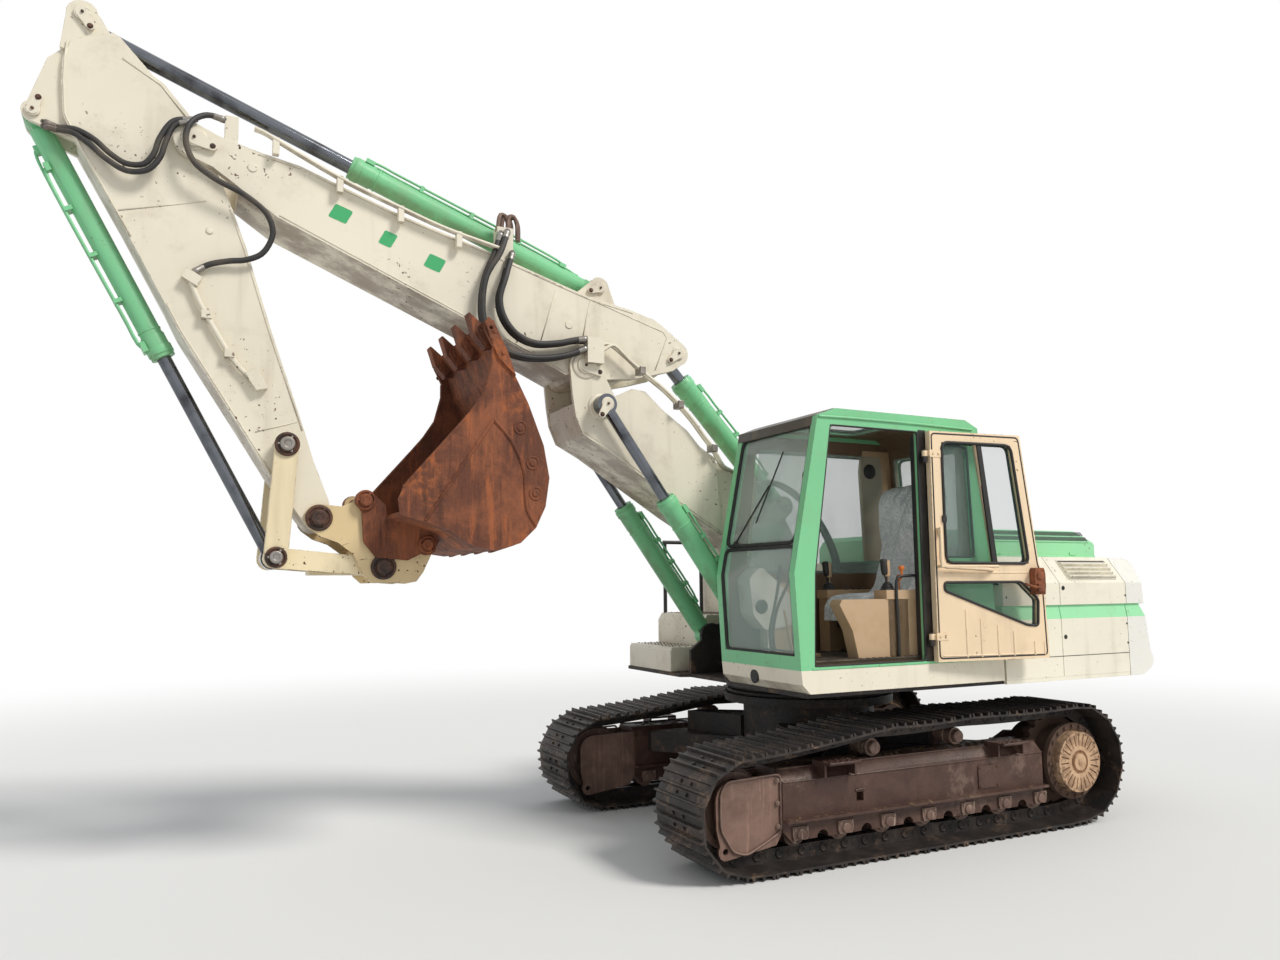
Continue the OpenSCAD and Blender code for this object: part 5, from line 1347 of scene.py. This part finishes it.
def make_cover():
    """A crumpled plastic bag: flared over the headrest, drawn in at the waist, along the cushion."""
    rng = random.Random(9)
    line = curve_through([(-498, 0, 2010), (-506, 0, 2200), (-498, 0, 2390), (-440, 0, 2510),
                          (-330, 0, 2522), (-262, 0, 2440), (-240, 0, 2310), (-234, 0, 2180),
                          (-236, 0, 2080), (-220, 0, 1930), (-186, 0, 1800), (-120, 0, 1730), (-20, 0, 1716),
                          (120, 0, 1708), (228, 0, 1694), (284, 0, 1640), (300, 0, 1540)], 15)
    widths = ((0.0, 190), (0.18, 225), (0.3, 262), (0.42, 240), (0.54, 212), (0.64, 232), (0.74, 270),
              (1.0, 276))
    waves = [(rng.uniform(1, 7), rng.uniform(1, 7), rng.uniform(0, 6.28), rng.uniform(2, 7))
             for _ in range(18)]
    bm = bmesh.new()
    rows = []
    across = 64
    for i, p in enumerate(line):
        share = i / (len(line) - 1)
        half = next(a[1] + (b[1] - a[1]) * (share - a[0]) / (b[0] - a[0]) for a, b in zip(widths, widths[1:])
                    if share <= b[0])
        ahead = (line[min(i + 1, len(line) - 1)] - line[max(i - 1, 0)]).normalized()
        out = Vector((-ahead.z, 0, ahead.x))
        if out.dot(Vector((1, 0, 0.9)) if share > 0.2 else Vector((-1, 0, 0.2))) < 0:
            out = -out
        row = []
        for k in range(across + 1):
            t = 2 * k / across - 1
            fold = max(0.0, abs(t) - 0.78) / 0.22
            crease = sum(a * (1 - 2 * abs(math.sin(3 * f * share + g * t + h))) for f, g, h, a in waves) / 3
            drop = 66 * fold ** 1.5 if share < 0.66 else 120 * fold ** 1.4
            q = (p + out * (abs(crease) * 1.3 - drop + 6)
                 + Vector((0, t * half * (1 - 0.05 * fold) + crease * 0.4, 0)))
            row.append(bm.verts.new(on_chair(*q)))
        rows.append(row)
    fill_grid(bm, rows)
    # Torn tail that hangs from the cushion's left edge to a point near the floor
    foot = Vector((437, 1130, 1330))
    tail = []
    for i in range(15):
        u = i / 14
        row = []
        for k in range(7):
            v = k / 6
            top = Vector((60 + 210 * v, CHAIR_Y + 268, 1700 - 24 * v))
            sag = Vector((30 * math.sin(3 * u), 14 * math.sin(7 * u + 5 * v), 0))
            q = (top.lerp(foot, u ** 0.9) + sag * u * (1 - u) * 3
                 + Vector((0, 9 * math.sin(9 * v + 4 * u), 0)) * (1 - u))
            row.append(bm.verts.new(P(*q)))
        tail.append(row)
    fill_grid(bm, tail)
    area = sum(face.calc_area() for face in bm.faces)
    cover = add_object("chair_cover", bm, "cover")
    thick = cover.modifiers.new("thick", "SOLIDIFY")
    thick.thickness = 0.0012
    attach(cover, "upper_structure")


def make_door_trim():
    form = Form(D)
    # Seals round the door and its panes
    form.paint = 1
    seal(form, [(2, 1290), (936, 1290), (918, 1872), (886, 1932), (762, 2864), (2, 2864)],
         lambda x, z: (x, 3, z), 7, 30)
    for y in (-1, 45):
        seal(form, [(85, 1950), (808, 1945), (692, 2805), (85, 2805)], lambda x, z, y=y: (x, y, z), 11, 60)
        seal(form, [(62, 1756), (770, 1505), (863, 1499), (876, 1685), (732, 1813), (62, 1813)],
             lambda x, z, y=y: (x, y, z), 10, 24)
    form.prism([(488, 1936), (530, 1936), (428, 2806), (390, 2806)], -3, 14)
    # Window catch
    form.box((64, -14, 2233), (96, 6, 2282))
    form.paint = 0
    for x, top in ((233, 1621), (358, 1556), (504, 1511), (642, 1466), (825, 1387), (914, 1387)):
        form.tube([(x, 3, 1290), (x, 3, top)], 9, 8)
    form.tube([(60, 2, 1880), (860, 2, 1880)], 7, 6)
    # Bent grab rail
    form.pipe([(36, 4, 2172), (20, -34, 2140), (18, -40, 2040), (18, -40, 1955), (40, -40, 1926),
               (120, -38, 1920), (300, -38, 1910), (440, -36, 1901), (476, 2, 1898)], 24, 15, 12)
    # Panel edge folds
    form.tube([(30, 2, 1306), (900, 2, 1300)], 7, 6)
    form.paint = 2
    # Latch: a case on the inner face and a rotor beyond the door's edge
    form.prism([(806, 1722), (894, 1722), (898, 1760), (898, 1890), (888, 1913), (820, 1913), (806, 1890)],
               -58, 4)
    form.prism([(880, 1732), (946, 1740), (958, 1772), (958, 1876), (936, 1904), (880, 1904)], 3, 40)
    form.turn((914, 4, 1830), IN, [(38, 0), (38, 3), (30, 5), (18, 5), (18, 2)], 24)
    form.box((820, -76, 1744), (872, -56, 1800))
    form.turn((852, -57, 1856), IN, [(30, 0), (30, 8), (22, 12), (10, 12)], 20)
    form.pipe([(846, -70, 1770), (780, -78, 1778), (704, -72, 1800)], 20, 9, 8)
    for x, y, z in ((818, -57, 1738), (884, -57, 1738), (818, -57, 1896), (884, -57, 1896), (944, 4, 1760),
                    (944, 4, 1884)):
        form.bolt((x, y, z), IN, 7, 5)
    form.paint = 0
    for z in HINGE_Z:
        form.box((-20, -4, z - 6), (80, 1, z + 46))
        for x in (10, 56):
            form.bolt((x, -4, z + 20), IN, 8, 7)
    form.make("door_trim", "door", "cream_paint", "door seal rust", bevel=0.001)
    form = Form(D)
    # Outer skin's handle
    form.box((800, 49, 1770), (900, 56, 1830))
    form.pipe([(812, 54, 1800), (818, 78, 1800), (880, 78, 1800), (888, 54, 1800)], 12, 8, 8)
    form.make("door_handle", "door", "cab_plastic", "black", bevel=0.002)


# Upper structure
SLOPE_FOOT_Z, SLOPE_RISE, SLOPE_IN = 1802, 203, 153
BLADES, BLADE_PITCH, BLADE_Z, BLADE_X = 4, 32, 1862, (-2048, -1512)


def make_panel_trim():
    form = Form()
    face = Vector((0, SLOPE_RISE, SLOPE_IN)).normalized()

    def on_slope(x, z, out=0.0):
        share = (z - SLOPE_FOOT_Z) / SLOPE_RISE
        return (x, HALF_W - SLOPE_IN * share + face.y * out, z + face.z * out)

    # Louvre: frame and four blades that stand out of the sloping panel
    form.tube([on_slope(*p, 3) for p in rounded(rectangle(-2056, 1828, -1504, 1976), 14)], 5, 8)
    for k in range(BLADES):
        z = BLADE_Z + BLADE_PITCH * k
        rings = []
        for x in BLADE_X:
            foot, head = on_slope(x, z - 26, 1), on_slope(x, z + 6, 1)
            lip = on_slope(x, z - 20, 24)
            rings.append([foot, lip, (lip[0], lip[1] - 3, lip[2] + 4), head])
        form.loft(rings, smooth=False)
    # Black strips in the gaps under the blades and black wedges at their ends: painted shade in the louvre
    form.paint = 1
    for k in range(BLADES + 1):
        z = BLADE_Z - 29 + BLADE_PITCH * k
        form.loft([[on_slope(x, z, 0.5), on_slope(x, z, 2.5), on_slope(x, z + 12, 2.5),
                    on_slope(x, z + 12, 0.5)] for x in BLADE_X], smooth=False)
    for k in range(BLADES):
        z = BLADE_Z + BLADE_PITCH * k
        form.loft([[on_slope(x, z - 25, 0.5), on_slope(x, z - 19, 22), on_slope(x, z + 4, 0.5)]
                   for x in (-2052, -2049)], smooth=False)
    form.make("louvre", "upper_structure", "cream_paint", "panel black", bevel=0.001)
    for (side, place), seam in zip(SIDES, (-800, -580)):
        form = Form(place)
        # Seams, latches and hinges
        form.paint = 1
        form.tube([(-2128, HALF_W, 1253), (seam, HALF_W, 1253)], 3, 6)
        for z in (1764, 1396):
            form.turn((-1415, HALF_W - 1, z), OUT, [(17, 0), (17, 4), (12, 6), (5, 6)], 20)
            form.box((-1418, HALF_W + 4, z - 9), (-1412, HALF_W + 8, z + 9))
        for x in (-2118, -812):
            for z in (1330, 1480, 1700):
                form.bolt((x, HALF_W, z), OUT, 6, 5)
        form.make(f"panel_trim_{side}", "upper_structure", "cream_paint", "panel black", bevel=0.001)
    form = Form()
    # Hood: punched slots in the slopes along both sides, drawn as thin black plates of painted shade, folds
    # and catches
    form.paint = 1
    for s in (-1, 1):
        rise, long, lean = Vector((0, -34 * s, 34)), Vector((15, 0, 0)), Vector((-10, 0, 0))
        thick = Vector((0, 1.2 * s, 1.2))
        for k in range(44):
            for j in range(2):
                a = Vector((-2196 + 26 * k, s * (976 - 44 * j), 2148 + 44 * j))
                slot = [a, a + long, a + long + rise + lean, a + rise + lean]
                form.loft([[c + out for c in slot] for out in (-thick, thick)], smooth=False)
    form.paint = 0
    for s in (-1, 1):
        form.tube([(-2268, s * 979, 2016), (-902, s * 979, 2016)], 7, 6)
        form.tube([(-2196, s * 984, 2138), (-940, s * 984, 2138)], 4, 6)
        for x in (-2000, -1150):
            form.box((x - 40, s * 980 - 8, 2030), (x + 40, s * 980 + 8, 2052))
    form.make("hood_trim", "upper_structure", "mint_paint", "hood black", bevel=0.001)
    form = Form()
    # Counterweight: towing eye, fixing bolts and the joint to the panels
    form.turn((-2763, 0, 1190), BACK, [(44, -6), (44, 4), (34, 8), (30, 2)], 28)
    form.ring_of_bolts((-2676, 0, 1860), BACK, 150, 4, 16, 14, math.pi / 4)
    form.turn_both(-2294, HALF_W - 2, 1665, [(14, 0), (14, 3), (8, 4)], 16)
    form.make("counterweight_trim", "upper_structure", "cream_paint", "weight", bevel=0.002)


def make_deck_trim():
    form = Form()
    # Right side: filler cap, lids, tread studs and seams of tank and tool box
    form.turn((-180, -900, 1990), UP, [(86, 0), (86, 24), (78, 30), (30, 32), (30, 42), (20, 44)], 32)
    form.ring_of_bolts((-180, -900, 2012), UP, 70, 8, 6, 6)
    form.box((-490, -1290, 1989), (120, -470, 1994))
    form.paint = 1
    for x0, x1, z, y0, y1 in ((215, 640, 1560, -1330, -560), (695, 945, 1300, -1280, -560)):
        nx, ny = int((x1 - x0) / 60), int((y1 - y0) / 64)
        for i in range(nx):
            for j in range(ny):
                x, y = x0 + 30 + 60 * i, y0 + 32 + 64 * j
                form.turn((x, y, z - 1), UP, [(13, 0), (11, 5), (6, 6)], 8)
    form.paint = 0
    form.tube([(214, -1345, 1508), (640, -1345, 1508)], 6, 6)
    form.box((400, -1349, 1400), (460, -1340, 1470))
    form.tube([(176, -1340, 1150), (176, -1340, 1940)], 6, 6)
    form.box((-420, -1347, 1500), (60, -1341, 1900))
    form.make("deck_trim", "upper_structure", "cream_paint", "cream frame", bevel=0.002)
    form = Form()
    form.turn((0, 0, 955), UP, [(650, 0), (650, 26), (640, 30)], 72)
    form.ring_of_bolts((0, 0, 951), UP, 632, 30, 13, 14)
    form.make("slew_bolts", "undercarriage", "dark_frame", "chassis")


make_camera()
LOOKS = make_materials()
make_hoses()
make_light()
dress_nodes()
for make in (make_pipes, make_pins, make_cylinder_trim, make_tracks, make_running_gear, make_earth,
             make_bucket_trim, make_boom_trim, make_cab_trim, make_controls, make_chair, make_door_trim,
             make_panel_trim, make_deck_trim):
    make()


def make_floor():
    size = 60
    mesh = bpy.data.meshes.new("floor")
    mesh.from_pydata([(-size, -size, 0), (size, -size, 0), (size, size, 0), (-size, size, 0)], [],
                     [(0, 1, 2, 3)])
    floor = bpy.data.objects.new("floor", mesh)
    scene.collection.objects.link(floor)
    s = Shader("floor")
    s.set(Base_Color=(0.8, 0.8, 0.79, 1), Roughness=0.9)
    # Far from the object the floor turns white for the camera, like the background
    length = s.node("ShaderNodeVectorMath", operation="LENGTH")
    s.put(length.inputs[0], s.pos)
    rays = s.node("ShaderNodeLightPath")
    seen = s.times(rays.outputs["Is Camera Ray"], s.band(length.outputs["Value"], 6.5, 16.0))
    glow = s.node("ShaderNodeEmission")
    both = s.node("ShaderNodeMixShader")
    s.put(both.inputs[0], seen)
    s.put(both.inputs[1], s.bsdf.outputs[0])
    s.put(both.inputs[2], glow.outputs[0])
    s.put(s.tree.nodes["Material Output"].inputs[0], both.outputs[0])
    mesh.materials.append(s.mat)


make_floor()
